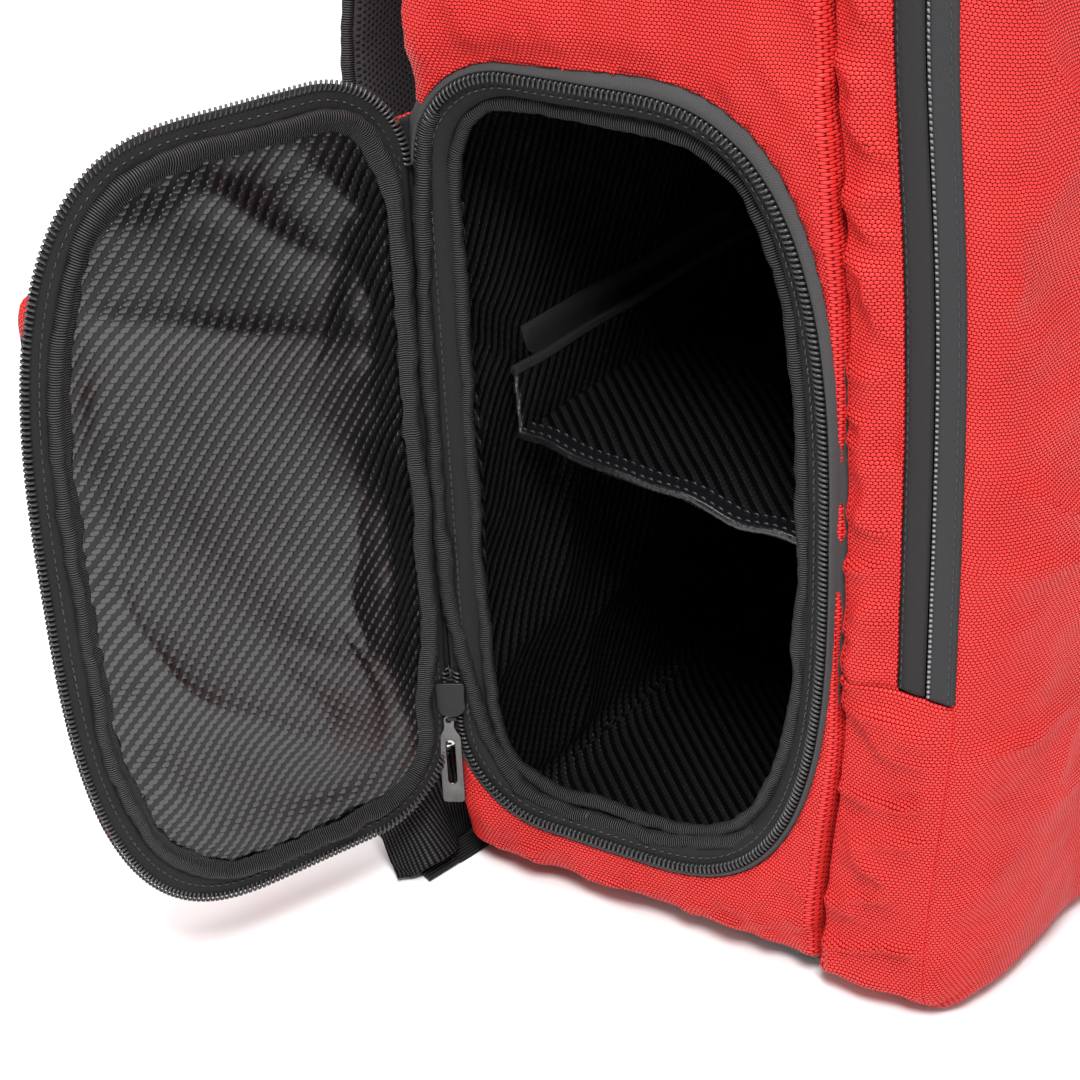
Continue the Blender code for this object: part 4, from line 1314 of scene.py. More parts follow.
STRAP_ROUTE = ((0.074, 0.173, 0.512), (0.084, 0.200, 0.520), (0.104, 0.238, 0.480), (0.124, 0.250, 0.410),
               (0.136, 0.241, 0.330), (0.142, 0.222, 0.250), (0.146, 0.206, 0.200))
WEB_ROUTE = ((0.148, 0.199, 0.192), (0.153, 0.196, 0.165), (0.160, 0.189, 0.120), (0.168, 0.180, 0.086))
BELT_ROUTE = ((0.120, 0.1715, 0.031), (0.180, 0.1725, 0.031), (0.212, 0.1765, 0.031), (0.228, 0.1850, 0.0240),
              (0.236, 0.198, 0.0110))
BELT_ACROSS = ((0, 0, 1), (0, 0, 1), (0, 0.1, 1), (-0.25, 0.62, 0.5), (-0.3, 1, 0.08))
STRAP_HALF = 0.0310 - 0.0030    # half the padded strap's width, less its binding
STRAP_WEB = (0.0245, 0.0014, 0.0006)    # width, thickness and edge radius of the webbing sewn on it
TAIL_CORNERS = ((0.240, 0.166), (0.219, 0.227), (0.152, 0.206), (0.168, 0.156))


def mirrored(points, sign):
    points = np.array(points, float)
    points[..., 0] *= sign
    return points


def shoulder_strap(side):
    name = side.name
    node = name + "_shoulder_strap"
    path = curved(mirrored(STRAP_ROUTE, side.sign), 150)
    half = STRAP_HALF
    lateral = np.linspace(-half, half, 17)
    crown = 0.0050 * pillow(half - np.abs(lateral), 0.012)
    far = along_path(path)
    ends = pillow(far, 0.012) * pillow(far[-1] - far, 0.012)
    side_dir, out = frames(path, (side.sign, 0.0, 0.0))
    spots = strip_spots(far, lateral)
    for part, face, mat, slot in (("out", 1, RED, "red_fabric"), ("in", -1, MESH_PAD, "mesh_padding")):
        bulge = 0.0006 + (crown[None] + 0.0005 * layered(spots, 0.022, 4.0 + face)) * ends[:, None]
        outwards = face * side_choice(out)
        points = path[:, None] + side_dir[:, None] * lateral[None, :, None]
        points = points + out[:, None] * (outwards * bulge)[..., None]
        uv = spread(far, lateral)
        skin = grid(f"{name}_strap_face_{part}", points, uv, mat, flip=outwards < 0)
        dress(skin, "bag", slot, node)
    there, back = path + side_dir * half, (path - side_dir * half)[::-1]
    loop = evenly(np.vstack([there, back, there[:1]]), 521)[:-1]
    for _ in range(6):
        loop = (np.roll(loop, 1, 0) + loop * 2 + np.roll(loop, -1, 0)) / 4
    bound = rope(name + "_strap_binding", loop, (0.0, 1.0, 0.001), 0.0029, 0.0,
                 seed=4.0 * side.sign, loop=True)
    dress(bound, "bag", "grosgrain", node)
    rise = side_choice(out) * 0.0064
    line = path + out * rise
    line = line[10:-2]
    section = rounded_section(*STRAP_WEB)
    webbing = swept(name + "_strap_band", line, (side.sign, 0, 0), section, WEBBING)
    dress(webbing, "bag", "webbing", node)
    for i, spot in enumerate((0.32, 0.62)):
        k = int(spot * len(line))
        bar = np.linspace(-0.011, 0.011, 30)
        above = out[10 + k] * side_choice(out)
        for j in (-2, 2):
            row = line[k + j] + side_dir[10 + k + j] * bar[:, None] + above * 0.0009
            sewn = stitches(f"{name}_strap_tack_{i}_{j + 2}", row, above, THREAD)
            dress(sewn, "bag", "webbing", node)


def side_choice(out):
    """+1 where out points away from the bag's back, -1 where it points towards it."""
    return 1.0 if out[len(out) // 2][1] > 0 else -1.0


def strap_webbing(side):
    name = side.name
    path = curved(mirrored(WEB_ROUTE, side.sign), 70)
    path = path + 0.0004 * np.stack([0 * path[:, 0], layered(path, 0.02, 3.0), 0 * path[:, 0]], 1)
    piece = swept(name + "_web", path, (side.sign, 0, 0), rounded_section(0.0250, 0.0019, 0.0008), WEBBING)
    dress(piece, "bag", "webbing", name + "_strap_webbing")
    low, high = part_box(name + "_webbing_anchor")
    radii = ((0.004, 0.004), (0.001, 0.003), (0.004, 0.004))
    box = cloth_box(low, high, radii, 0.002)
    box.push(0.0004 * layered(box.points, 0.012, 1.0))
    anchor = box.build(name + "_anchor_tab", RED)
    dress(anchor, "bag", "red_fabric", name + "_webbing_anchor")
    cross = (((0.12, 0.12), (0.88, 0.88)), ((0.88, 0.12), (0.12, 0.88)))
    box_seam = (((0.1, 0.1), (0.9, 0.1)), ((0.9, 0.1), (0.9, 0.9)),
                ((0.9, 0.9), (0.1, 0.9)), ((0.1, 0.9), (0.1, 0.1)))
    wide, tall = high.x - low.x, high.z - low.z
    for i, line in enumerate(cross + box_seam):
        ends = [(low.x + wide * x, high.y + 0.0001, low.z + tall * z) for x, z in line]
        sewn = stitches(f"{name}_anchor_stitch_{i}", evenly(ends, 20), (0, 1, 0), THREAD)
        dress(sewn, "bag", "red_fabric", name + "_webbing_anchor")
    start, end = (np.array(mirrored(p, side.sign)) for p in (WEB_ROUTE[1], WEB_ROUTE[2]))
    along = unit(end - start)
    out = unit(np.cross(along, (side.sign, 0, 0)))
    out = out * np.sign(out[1])
    across = np.cross(along, out)
    low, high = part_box(name + "_ladder_lock")
    middle = (np.array(low) + np.array(high)) / 2
    frame_m = frame_matrix(across, along, out, middle)
    outline = round_corners((-0.018, -0.0148), (0.018, 0.0148), 0.004, count=6)[:-1]
    square = ((-1, -1), (1, -1), (1, 1), (-1, 1))
    slots = [[(x * 0.0135, y * 0.0022 + shift) for x, y in square] for shift in (-0.0062, 0.0062)]
    lock = plate(name + "_lock", outline, slots, 0.0040, 0.0011, PLASTIC, frame_m)
    dress(lock, name + "_ladder_lock", "black_acetal", name + "_ladder_lock")


def waist_belt(side):
    """The standing belt band, then its flat end on the ground."""
    name = side.name
    path = curved(mirrored(BELT_ROUTE, side.sign), 120)
    turn = mirrored(BELT_ACROSS, side.sign)
    far = along_path(path) / along_path(path)[-1]
    marks = [far[np.linalg.norm(path - p, axis=1).argmin()] for p in mirrored(BELT_ROUTE, side.sign)]
    across = unit(np.stack([np.interp(far, marks, turn[:, k]) for k in range(3)], 1))
    lateral = np.linspace(-0.0258, 0.0258, 23)
    spots = strip_spots(far * 0.2, lateral)
    side_dir, out = frames(path, across)
    wave = 0.0007 * layered(spots, 0.03, 7.0)
    points = path[:, None] + side_dir[:, None] * lateral[None, :, None] + out[:, None] * wave[..., None]
    points[..., 2] = np.maximum(points[..., 2], 0.0042)
    uv = spread(along_path(path), lateral)
    belt = grid(name + "_belt", points, uv, WEBBING)
    thicken(belt, 0.0022, 0.0)
    dress(belt, "bag", "webbing", name + "_waist_belt")
    quad = mirrored([(x, y, 0.0) for x, y in TAIL_CORNERS], side.sign)
    s = np.linspace(0, 1, 40)[:, None, None]
    t = np.linspace(0, 1, 30)[None, :, None]
    flat = (quad[0] * (1 - s) + quad[3] * s) * (1 - t) + (quad[1] * (1 - s) + quad[2] * s) * t
    hem = ease(0.30 - s[..., 0], -0.01, 0.02) + 0 * t[..., 0]
    flat[..., 2] = 0.0017 + 0.0010 * hem + 0.0003 * layered(flat, 0.02, 3.0)
    size = np.linalg.norm(quad[1] - quad[0]), np.linalg.norm(quad[3] - quad[0])
    uv = np.stack([t[..., 0] * size[0] + 0 * s[..., 0], s[..., 0] * size[1] + 0 * t[..., 0]], -1)
    tail = grid(name + "_belt_end", flat, uv, WEBBING, flip=side.sign > 0)
    thicken(tail, 0.0016)
    dress(tail, "bag", "webbing", name + "_belt_tail")
    k = int(0.27 * 40)
    sewn = stitches(name + "_belt_hem", flat[k, 1:-1] + np.array([0, 0, 0.0002]), (0, 0, 1), THREAD)
    dress(sewn, "bag", "webbing", name + "_belt_tail")


HANDLE_HALF = ((0.070, 0.0), (0.0665, 0.0075), (0.056, 0.0165), (0.034, 0.0235), (0.0, 0.0262))
PATCH_X = (0.052, 0.090)        # the sewn patch at each foot of the handle
PATCH_HALF_Y = 0.014


def handle():
    """The grab handle: a webbing core under a wrapped grip, with sewn patches at its feet."""
    pivot = np.array(JOINTS["handle_tip"]["pos_m"])
    route = [(-x, 0.0, z) for x, z in HANDLE_HALF] + [(x, 0.0, z) for x, z in HANDLE_HALF[-2::-1]]
    path = curved(route, 130) + pivot
    far = along_path(path) / along_path(path)[-1]
    grip = ease(far, 0.17, 0.20) * ease(1 - far, 0.17, 0.20)
    field = strip_spots(far * 0.18, np.arange(14) * 0.002)
    grow = 1 + 0.05 * layered(field, 0.010, 5.0)
    thin = oval_section(0.0110, 0.0030, 14, 3.0)
    thick = oval_section(0.0108, 0.0104, 14, 2.3)
    section = (thin[None] * (1 - grip[:, None, None]) + thick[None] * grip[:, None, None]) * grow[..., None]
    bar = swept("handle_grip", path, (0, 1, 0), section, GROSGRAIN)
    dress(bar, "handle", "webbing", "grab_handle")
    for side in (LEFT, RIGHT):
        low = PATCH_X[0], pivot[1] - PATCH_HALF_Y
        high = PATCH_X[1], pivot[1] + PATCH_HALF_Y
        xs = np.linspace(low[0], high[0], 24) * side.sign
        ys = np.linspace(low[1], high[1], 18)
        x, y = crossed(xs, ys)
        edge = inset(np.abs(x), y, low, high)
        z = TOP_Z - 0.0004 + 0.0024 * ease(edge, -0.001, 0.004)
        patch = grid(side.name + "_handle_patch", np.stack([x, y, z], -1), np.stack([x, y], -1), WEBBING,
                     flip=side.sign < 0)
        thicken(patch, 0.0030)
        dress(patch, "bag", "webbing", "boot_shell")


# ---- rings round an opening ---------------------------------------------------------------------
BINDING_R = 0.0034
TAIL = np.nonzero((LOOP[:, 0] < 0.003) & (LOOP[:, 1] < HINGE_LOW) & (LOOP_FAR > LOOP_LENGTH / 2))[0]
TOP_END = int(np.argmax((LOOP_FAR > LOOP_LENGTH / 2) & (LOOP[:, 1] < HINGE_HIGH) & (LOOP[:, 0] < 0.003)))
ZIP_RUN = np.concatenate([TAIL, np.arange(TOP_END)])       # the zip's run round the opening
ALL_ROUND = np.arange(len(LOOP))
HINGE_RUN = np.arange(TOP_END - 6, len(LOOP))


def near_hinge():
    """1 along the fabric hinge, easing to 0 beyond its ends, for each place of the outline."""
    beside = ease(0.012 - LOOP[:, 0], 0.0, 0.012)
    return beside * ease(LOOP[:, 1], 0.098, 0.150) * ease(0.405 - LOOP[:, 1], 0.0, 0.050)


BY_HINGE = near_hinge()


def ring_points(side, where, run, offset, out):
    """Points at (rows, columns) offsets from the outline and heights out of its plane."""
    a = LOOP[run, None, 0] + LOOP_OUT[run, None, 0] * offset
    z = LOOP[run, None, 1] + LOOP_OUT[run, None, 1] * offset
    return side.place(where, a, z, out)


def ring(name, side, where, profile, mat, run=ALL_ROUND, wobble=0.0, seed=0.0, inner=False):
    """A strip round the opening. profile lists (offset, out) pairs, or has one list for each place."""
    profile = np.broadcast_to(profile, (len(run),) + np.shape(profile)[-2:])
    offset, out = profile[..., 0], profile[..., 1].copy()
    if wobble:
        spots = np.stack([LOOP[run, None, 0] + 0 * out, LOOP[run, None, 1] + 0 * out, offset], -1)
        out += wobble * layered(spots, (0.028, 0.028, 0.010), seed)
    points = ring_points(side, where, run, offset, out)
    whole = len(run) == len(LOOP)
    far = LOOP_FAR[run]
    far = np.where(far < far[0] - 1e-9, far + LOOP_LENGTH, far)
    if whole:
        far = np.append(far, LOOP_LENGTH)
    wide = np.concatenate([[0.0], np.cumsum(np.hypot(*np.diff(profile[0], axis=0).T))])
    uv = spread(far, wide)
    return grid(name, points, uv, mat, loop_u=whole, flip=side.flip != inner)


def run_path(side, where, run, offset, out):
    """One line round the opening as world points."""
    offset = np.broadcast_to(offset, (len(run),))[:, None]
    out = np.broadcast_to(out, (len(run),))[:, None]
    return ring_points(side, where, run, offset, out)[:, 0]


def coil(name, side, where, offset, level, width=0.0040, height=0.0019, wire=0.00064):
    """The nylon coil of an open zip: one wire wound round and round along the tape's edge."""
    axis_out = getattr(side, where)[1]
    middle = run_path(side, where, ZIP_RUN, offset, level)
    outer = run_path(side, where, ZIP_RUN, offset + 0.001, level)
    turns = int(along_path(middle)[-1] // COIL_PITCH)
    far = along_path(middle)
    at = np.linspace(0, turns * COIL_PITCH, turns * 12 + 1)
    line = np.stack([np.interp(at, far, middle[:, k]) for k in range(3)], 1)
    away = unit(np.stack([np.interp(at, far, (outer - middle)[:, k]) for k in range(3)], 1))
    turn = np.arange(len(at)) * 2 * np.pi / 12
    path = line + away * (width / 2 * np.cos(turn))[:, None] + axis_out * (height / 2 * np.sin(turn))[:, None]
    along = np.gradient(line, axis=0)
    return swept(name, path, along, oval_section(wire * 2, wire * 2, 6), COIL)


def rope(name, path, across, radius, tail, seed=0.0, loop=False, slack=1.0):
    """A binding folded over a raw edge: a puckered round edge with a flat tail on one side."""
    far = along_path(path)
    if loop:
        closing = far[-1] + np.linalg.norm(path[0] - path[-1])
        phase = far / closing * 2 * np.pi
        ring_way = closing / (2 * np.pi)
        spots = np.stack([np.cos(phase) * ring_way, np.sin(phase) * ring_way, 0 * far], 1)
    else:
        spots = np.stack([far, 0 * far, 0 * far], 1)
    angles = np.radians(np.linspace(28, 332, 15))
    base = [(0.00045 + tail, 0.0005), (radius * 0.6 + tail * 0.4, 0.00065)]
    arc = [(radius * math.cos(a), radius * 0.92 * math.sin(a)) for a in angles]
    rest = [(radius * 0.6 + tail * 0.4, -0.00065), (0.00045 + tail, -0.0005)]
    section = np.array(base + arc + rest)
    if not tail:
        turn = np.arange(16) * np.pi / 8
        section = radius * np.stack([np.cos(turn), np.sin(turn)], 1)
    column = np.arange(len(section))
    field = spots[:, None] + np.array([0.0, 0.0, 1.0]) * (column * 0.0014)[None, :, None]
    pucker = layered(field, (0.0075, 0.0075, 0.008), seed)
    broad = layered(field * [1, 1, 0.3], (0.035, 0.035, 0.03), seed + 5)
    grow = 1 + (0.13 * pucker + 0.12 * broad) * slack
    shape = section[None] * grow[..., None]
    sway = 0.0009 * slack * np.stack([layered(spots, 0.03, seed + 9), layered(spots, 0.035, seed + 13)], -1)
    shape = shape + sway[:, None]
    return swept(name, path, across, shape, GROSGRAIN, loop=loop)


def mouth(side):
    """The zip tape, coil, bindings and stitching round the opening in the bag."""
    name = side.name
    lip = LIP[:, None]
    offset = [lip + 0.0040, lip + 0.0016, lip + 0.0003, lip * 0.55, 0.0006 + 0 * lip, -0.0003 + 0 * lip]
    height = [level + 0 * lip for level in (-0.0030, -0.0026, -0.0010, 0.0008, 0.0012, 0.0004)]
    profile = np.stack([np.concatenate(offset, 1), np.concatenate(height, 1)], -1)
    edge = ring(name + "_mouth_lip", side, "mouth", profile[ZIP_RUN], TAPE_LIP, ZIP_RUN, 0.00025, side.sign)
    thicken(edge, TAPE_CLOTH)
    dress(edge, "bag", "zip_tape", name + "_mouth_zip")
    fold = [(0.0036, -0.0080), (0.0028, -0.0045), (0.0014, -0.0008), (0.0000, 0.0006), (-0.0015, 0.0002)]
    back = ring(name + "_mouth_fold", side, "mouth", fold, TAPE, HINGE_RUN, 0.0002, 2 + side.sign)
    thicken(back, TAPE_CLOTH)
    dress(back, "bag", "zip_tape", name + "_mouth_zip")
    profile = [(-0.0001, 0.0), (-0.0012, -0.0006), (-0.0036, -0.0007), (-0.0060, -0.0009),
               (-0.0085, -0.0017), (-0.0110, -0.0033), (-0.0128, -0.0058), (-0.0138, -0.0085)]
    tape = ring(name + "_mouth_tape", side, "mouth", profile, TAPE, wobble=0.0004, seed=3 + side.sign)
    thicken(tape, TAPE_CLOTH)
    dress(tape, "bag", "zip_tape", name + "_mouth_zip")
    teeth = coil(name + "_mouth_coil", side, "mouth", -0.0027, 0.0007)
    dress(teeth, "bag", "zip_tape", name + "_mouth_zip")
    out = side.mouth[1]
    offset = -0.0172 + 0.0036 * BY_HINGE
    level = -0.0092 + 0.0012 * BY_HINGE
    path = run_path(side, "mouth", ALL_ROUND, offset, level)
    outwards = run_path(side, "mouth", ALL_ROUND, offset + 0.001, level) - path
    bound = rope(name + "_mouth_rope", path, outwards, BINDING_R, 0.0050,
                 seed=2.5 * side.sign, loop=True, slack=1.4)
    dress(bound, "bag", "grosgrain", name + "_mouth_binding")
    rows = [(ZIP_RUN, -0.0077, -0.0010), (HINGE_RUN, -0.0070, -0.0009)]
    for i, (run, offset, level) in enumerate(rows):
        sewn = stitches(f"{name}_mouth_stitch_{i}", run_path(side, "mouth", run, offset, level), out, THREAD)
        dress(sewn, "bag", "zip_tape", name + "_mouth_zip")


def hinge_path(side):
    """The middle line of the rolled edge at the hinge: down the hinge, then in along the bottom."""
    spine = [(0.0120, 0.402, -0.0034), (0.0062, 0.388, -0.0014), (0.0034, 0.360, 0.0006),
             (0.0014, 0.310, 0.0018), (0.0006, 0.250, 0.0020), (0.0012, 0.190, 0.0016),
             (0.0036, 0.146, 0.0000), (0.0082, 0.112, -0.0034), (0.0128, 0.088, -0.0048),
             (0.0215, 0.068, -0.0052), (0.0345, 0.0555, -0.0055), (0.0560, 0.0500, -0.0056),
             (0.0900, 0.0500, -0.0056), (0.1250, 0.0540, -0.0058), (0.1550, 0.0660, -0.0064),
             (0.1740, 0.0900, -0.0074), (0.1830, 0.1250, -0.0086)]
    line = curved(spine, 420)
    return side.place("mouth", line[:, 0], line[:, 1], line[:, 2])


def hinge(side):
    """The fabric hinge between bag and door: a bound roll inside and a red cover outside."""
    name = side.name
    path = hinge_path(side)
    across = np.broadcast_to(side.mouth[0], path.shape)
    roll = rope(name + "_hinge_rope", path, across, 0.0040, 0.0, seed=31 + side.sign, slack=1.6)
    dress(roll, "bag", "grosgrain", name + "_hinge_roll")
    layers = (("cover", 0.0054, 0.0022, RED, "red_fabric"), ("strip", 0.0040, 0.0014, TAPE, "zip_tape"))
    for part, reach, widen, mat, slot in layers:
        last = 28 + math.degrees(DOOR_OPEN[name])
        turn = np.concatenate([np.linspace(246, 208, 6), np.linspace(200, last, 12)])
        share = np.linspace(0, 1, len(turn))
        height = np.arange(*HINGE_COVER, 0.003)
        spots = np.stack(np.meshgrid(height, share * 0.02, [0.0], indexing="ij"), -1)[:, :, 0]
        radius = np.interp(-turn, (-246, -208, -last), (reach + 0.0030, reach, reach + widen))
        turn = np.radians(turn)
        radius = radius + 0.0004 * layered(spots, 0.02, 4.0)
        up = height[:, None] + 0 * radius
        points = side.place("mouth", radius * np.cos(turn), up, radius * np.sin(turn))
        uv = spread(height, share * 0.016)
        sheet = grid(f"{name}_hinge_{part}", points, uv, mat, flip=not side.flip)
        thicken(sheet, 0.0010, 1.0 if mat == RED else 0.0)
        settle(sheet)
        start = Vector(side.place("mouth", -0.0035, HINGE_MID, 0.0))
        end = Vector(side.place("door", 0.0045, HINGE_MID, 0.0))
        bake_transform(sheet)
        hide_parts(name + "_hinge_roll")


# ---- the doors ----------------------------------------------------------------------------------
LINING_TURN = math.radians(14.0)        # how far the lining's strands lean over in a door


def filled(name, side, where, offset, rings, level, mat, inner=False):
    """A sheet filling the outline moved out by offset. level(a, z, near) gives its height out, where
    near is the distance in from its edge."""
    offset = np.broadcast_to(offset, (len(LOOP),))[::4, None]
    edge = LOOP[::4] + LOOP_OUT[::4] * offset
    share = 1 - np.linspace(0, 1, rings) ** 1.25
    points = LOOP_MID + (edge[:, None] - LOOP_MID) * share[None, :, None]
    near = np.linalg.norm(edge[:, None] - points, axis=2)
    reach = np.abs(((edge - LOOP_MID) * LOOP_OUT[::4]).sum(1)) / np.linalg.norm(edge - LOOP_MID, axis=1)
    near = near * reach[:, None]
    a, z = points[..., 0], points[..., 1]
    world = side.place(where, a, z, level(a, z, near))
    c, s = (math.cos(LINING_TURN), math.sin(LINING_TURN)) if inner else (1.0, 0.0)
    across = -a if inner else a
    uv = np.stack([across * c - z * s, across * s + z * c], -1)
    uv = np.concatenate([uv, uv[:1]])
    obj = grid(name, world, uv, mat, loop_u=True, flip=side.flip != inner)
    with editing(obj.data) as bm:
        bmesh.ops.remove_doubles(bm, verts=bm.verts, dist=0.00001)
    return obj


def flat_cells(a, z, size, seed, layers=2):
    return layered(np.stack([a, z, 0 * a + seed], -1), size, seed, layers)


def lining_level(a, z, near):
    """The door lining: sewn flat at its binding, slack and creased in the middle, bulging inwards."""
    slack = ease(near, 0.0, 0.020)
    across = a * 0.80 - z * 0.60
    down = a * 0.60 + z * 0.80
    fold = flat_cells(across, down, (0.062, 0.15, 1.0), 8.2, 1)
    tuck = creases(np.stack([across, down, 0 * a], -1), (0.085, 0.20, 1.0), 5.1)
    pull = np.sin(flat_cells(a, z, (0.06, 0.04, 1.0), 2.0) * 2.2) * groove(near - 0.014, 0.012)
    belly = 0.0026 * ease(near, 0.0, 0.055)
    return 0.0004 - belly - slack * (0.0052 * fold + 0.0036 * tuck) - 0.0016 * pull


def panel_level(a, z, near):
    """The padded outer face of a door: a stuffed edge and a slightly uneven middle."""
    soft = flat_cells(a, z, (0.06, 0.05, 1.0), 4.4)
    fold = creases(np.stack([a, z, 0 * a], -1), (0.05, 0.03, 1.0), 1.9)
    return 0.0030 + 0.0066 * pillow(near, 0.022) + ease(near, 0.0, 0.02) * (0.0006 * soft - 0.0008 * fold)


def door(side):
    name = side.name
    body = name + "_door"
    panel = filled(name + "_door_outer", side, "door", -0.0024, 44, panel_level, RED)
    thicken(panel, CLOTH)
    dress(panel, body, "red_fabric", name + "_door_panel")
    profile = [(-0.0020, 0.0016), (-0.0045, 0.0010), (-0.0080, 0.0008), (-0.0115, 0.0004), (-0.0150, 0.0002)]
    tape = ring(name + "_door_tape", side, "door", profile, TAPE, wobble=0.0004, seed=21 + side.sign,
                inner=True)
    thicken(tape, 0.0008)
    dress(tape, body, "zip_tape", name + "_door_zip")
    teeth = coil(name + "_door_coil", side, "door", -0.0027, 0.0011)
    dress(teeth, body, "zip_tape", name + "_door_zip")
    offset = -0.0160 + 0.0056 * BY_HINGE
    level = -0.0006 - 0.0012 * BY_HINGE
    path = run_path(side, "door", ALL_ROUND, offset, level)
    inwards = run_path(side, "door", ALL_ROUND, offset - 0.001, level) - path
    bound = rope(name + "_door_rope", path, inwards, BINDING_R, 0.0056,
                 seed=7.5 * side.sign, loop=True, slack=1.5)
    dress(bound, body, "grosgrain", name + "_door_binding")
    edge = -0.0195 + 0.0050 * BY_HINGE
    lining = filled(name + "_door_inner", side, "door", edge, 60, lining_level, LINING, inner=True)
    thicken(lining, LINING_CLOTH)
    dress(lining, body, "coated_lining", name + "_door_lining")
    out = side.door[1]
    for i, (run, offset, level) in enumerate(((ZIP_RUN, -0.0088, 0.0007), (HINGE_RUN, -0.0070, 0.0008))):
        sewn = stitches(f"{name}_door_stitch_{i}", run_path(side, "door", run, offset, level), -out, THREAD)
        dress(sewn, body, "zip_tape", name + "_door_zip")


POCKET_A = (0.030, 0.176)
POCKET_Z = (0.075, 0.352)
POCKET_N = (0.0098, 0.0455)
POCKET_ZIP_N = 0.025            # the pocket's zip lies this far out, up its front side


def pocket(side):
    """The stuffed pocket on the outside of a door, with a zip up its front side."""
    name = side.name
    body = name + "_door"
    low = (POCKET_A[0], POCKET_Z[0], POCKET_N[0] - 0.004)
    high = (POCKET_A[1] - 0.0002, POCKET_Z[1], POCKET_N[1] - 0.0015)
    radii = ((0.014, 0.007), (0.016, 0.016), (0.003, 0.009))
    box = cloth_box(low, high, radii, 0.0032)
    a, z, n = box.points.T
    edge = inset(a, z, low, high)
    outer = ease(box.normals[:, 2], 0.5, 0.9)
    push = outer * (0.0060 * ease(edge, 0.0, 0.05) - 0.0020)
    push = push + 0.0014 * layered(box.points, (0.06, 0.05, 0.05), 2.2)
    push = push - 0.0018 * creases(box.points, (0.09, 0.07, 0.06), 6.1)
    push = np.where(box.normals[:, 0] > 0.8, push * 0.3, push)
    push = push * ease(n, POCKET_N[0] - 0.002, POCKET_N[0] + 0.006)
    box.push(push)
    box.points = side.place("door", *box.points.T)
    if side.flip:
        box.quads = box.quads[:, ::-1]
    shell = box.build(name + "_pocket_shell", RED)
    dress(shell, body, "red_fabric", name + "_door_pocket")
    height = np.arange(0.095, 0.3351, 0.0024)
    wide = np.array([-0.0098, -0.0060, -0.0024, 0.0, 0.0024, 0.0060, 0.0098])
    lift = np.array([0.0002, 0.0008, 0.0011, 0.0011, 0.0011, 0.0008, 0.0002])
    points = side.place("door", (POCKET_A[1] + 0.0002 + lift)[None] + 0 * height[:, None],
                        height[:, None] + 0 * wide[None], POCKET_ZIP_N + wide[None] + 0 * height[:, None])
    uv = spread(height, wide)
    tape = grid(name + "_pocket_tape", points, uv, FRONT_TAPE, flip=not side.flip)
    thicken(tape, 0.0007, 0.0)
    dress(tape, body, "zip_tape", name + "_pocket_zip")
    toothed = side.place("door", POCKET_A[1] + 0.0016 + 0 * height, height, POCKET_ZIP_N + 0 * height)
    turns = int((height[-1] - height[0]) // POCKET_COIL_PITCH)
    at = np.linspace(0, 1, turns * 10 + 1)
    line = toothed[0] + (toothed[-1] - toothed[0]) * at[:, None]
    turn = np.arange(len(at)) * 2 * np.pi / 10
    along, out = side.door
    winding = line + out * (0.0019 * np.cos(turn))[:, None] + along * (0.0007 * np.sin(turn))[:, None]
    teeth = swept(name + "_pocket_coil", winding, (0, 0, 1), oval_section(0.0008, 0.0008, 6), COIL)
    dress(teeth, body, "zip_tape", name + "_pocket_zip")


# ---- sliders and pulls --------------------------------------------------------------------------
FRONT_SLIDER = (0.0120, 0.0200, 0.0065)     # width, length and thickness
POCKET_SLIDER = (0.0115, 0.018, 0.0065)
FRONT_PULL = (0.0098, 0.0345, 0.0013)
POCKET_PULL = (0.00935, 0.0430, 0.0015)
BOOT_PULL = (0.011, 0.0490, 0.0018)


def frame_matrix(x, y, z, origin):
    matrix = Matrix((Vector(x), Vector(y), Vector(z))).transposed().to_4x4()
    matrix.translation = Vector(origin)
    return matrix


def slider_outline(width, length, top=0.0030, bottom=0.0055):
    """A slider plate: soft corners at the top, a rounder lower end and a slight waist."""
    half, tall = width / 2, length / 2
    top, bottom = min(top, half * 0.9), min(bottom, half * 0.94)
    loop = arc_points((half - top, tall - top), top, 0, 90)
    loop += arc_points((-half + top, tall - top), top, 90, 180)
    loop += [(-half + 0.0004, 0.0)]
    loop += arc_points((-half + bottom, -tall + bottom), bottom, 180, 270)
    loop += arc_points((half - bottom, -tall + bottom), bottom, 270, 360)
    loop += [(half - 0.0004, 0.0)]
    return loop


def slot_outline(width, length, center=(0.0, 0.0)):
    half = width / 2
    reach = length / 2 - half
    loop = arc_points((center[0], center[1] + reach), half, 0, 180, 12)
    return loop + arc_points((center[0], center[1] - reach), half, 180, 360, 12)


def slider(name, node, origin, axes, size):
    """A zip slider: two plates joined by a core, with a bridge for the pull. Its thickness runs from
    0 to size[2] along the third axis."""
    width, length, thick = size
    x, y, z = axes
    layers = (("back", 0.0, 0.22, 1.0), ("core", 0.18, 0.52, 0.55), ("front", 0.46, 0.76, 1.0))
    for part, low, high, share in layers:
        middle = Vector(origin) + Vector(z) * ((low + high) / 2 * thick)
        outline = slider_outline(width * share, length * (share * 0.2 + 0.8))
        matrix = frame_matrix(x, y, z, middle)
        piece = plate(f"{name}_{part}", outline, (), (high - low) * thick, 0.12 * thick, PLASTIC, matrix)
        dress(piece, node, "black_acetal", node)
    path = ((length * 0.30, 0.70), (length * 0.24, 0.92), (length * 0.05, 0.97), (-length * 0.22, 0.92),
            (-length * 0.34, 0.72))
    line = curved([(Vector(origin) + Vector(y) * b + Vector(z) * (c * thick))[:] for b, c in path], 24)
    section = rounded_section(width * 0.36, thick * 0.17, thick * 0.07)
    bridge = swept(name + "_bridge", line, x, section, PLASTIC)
    dress(bridge, node, "black_acetal", node)


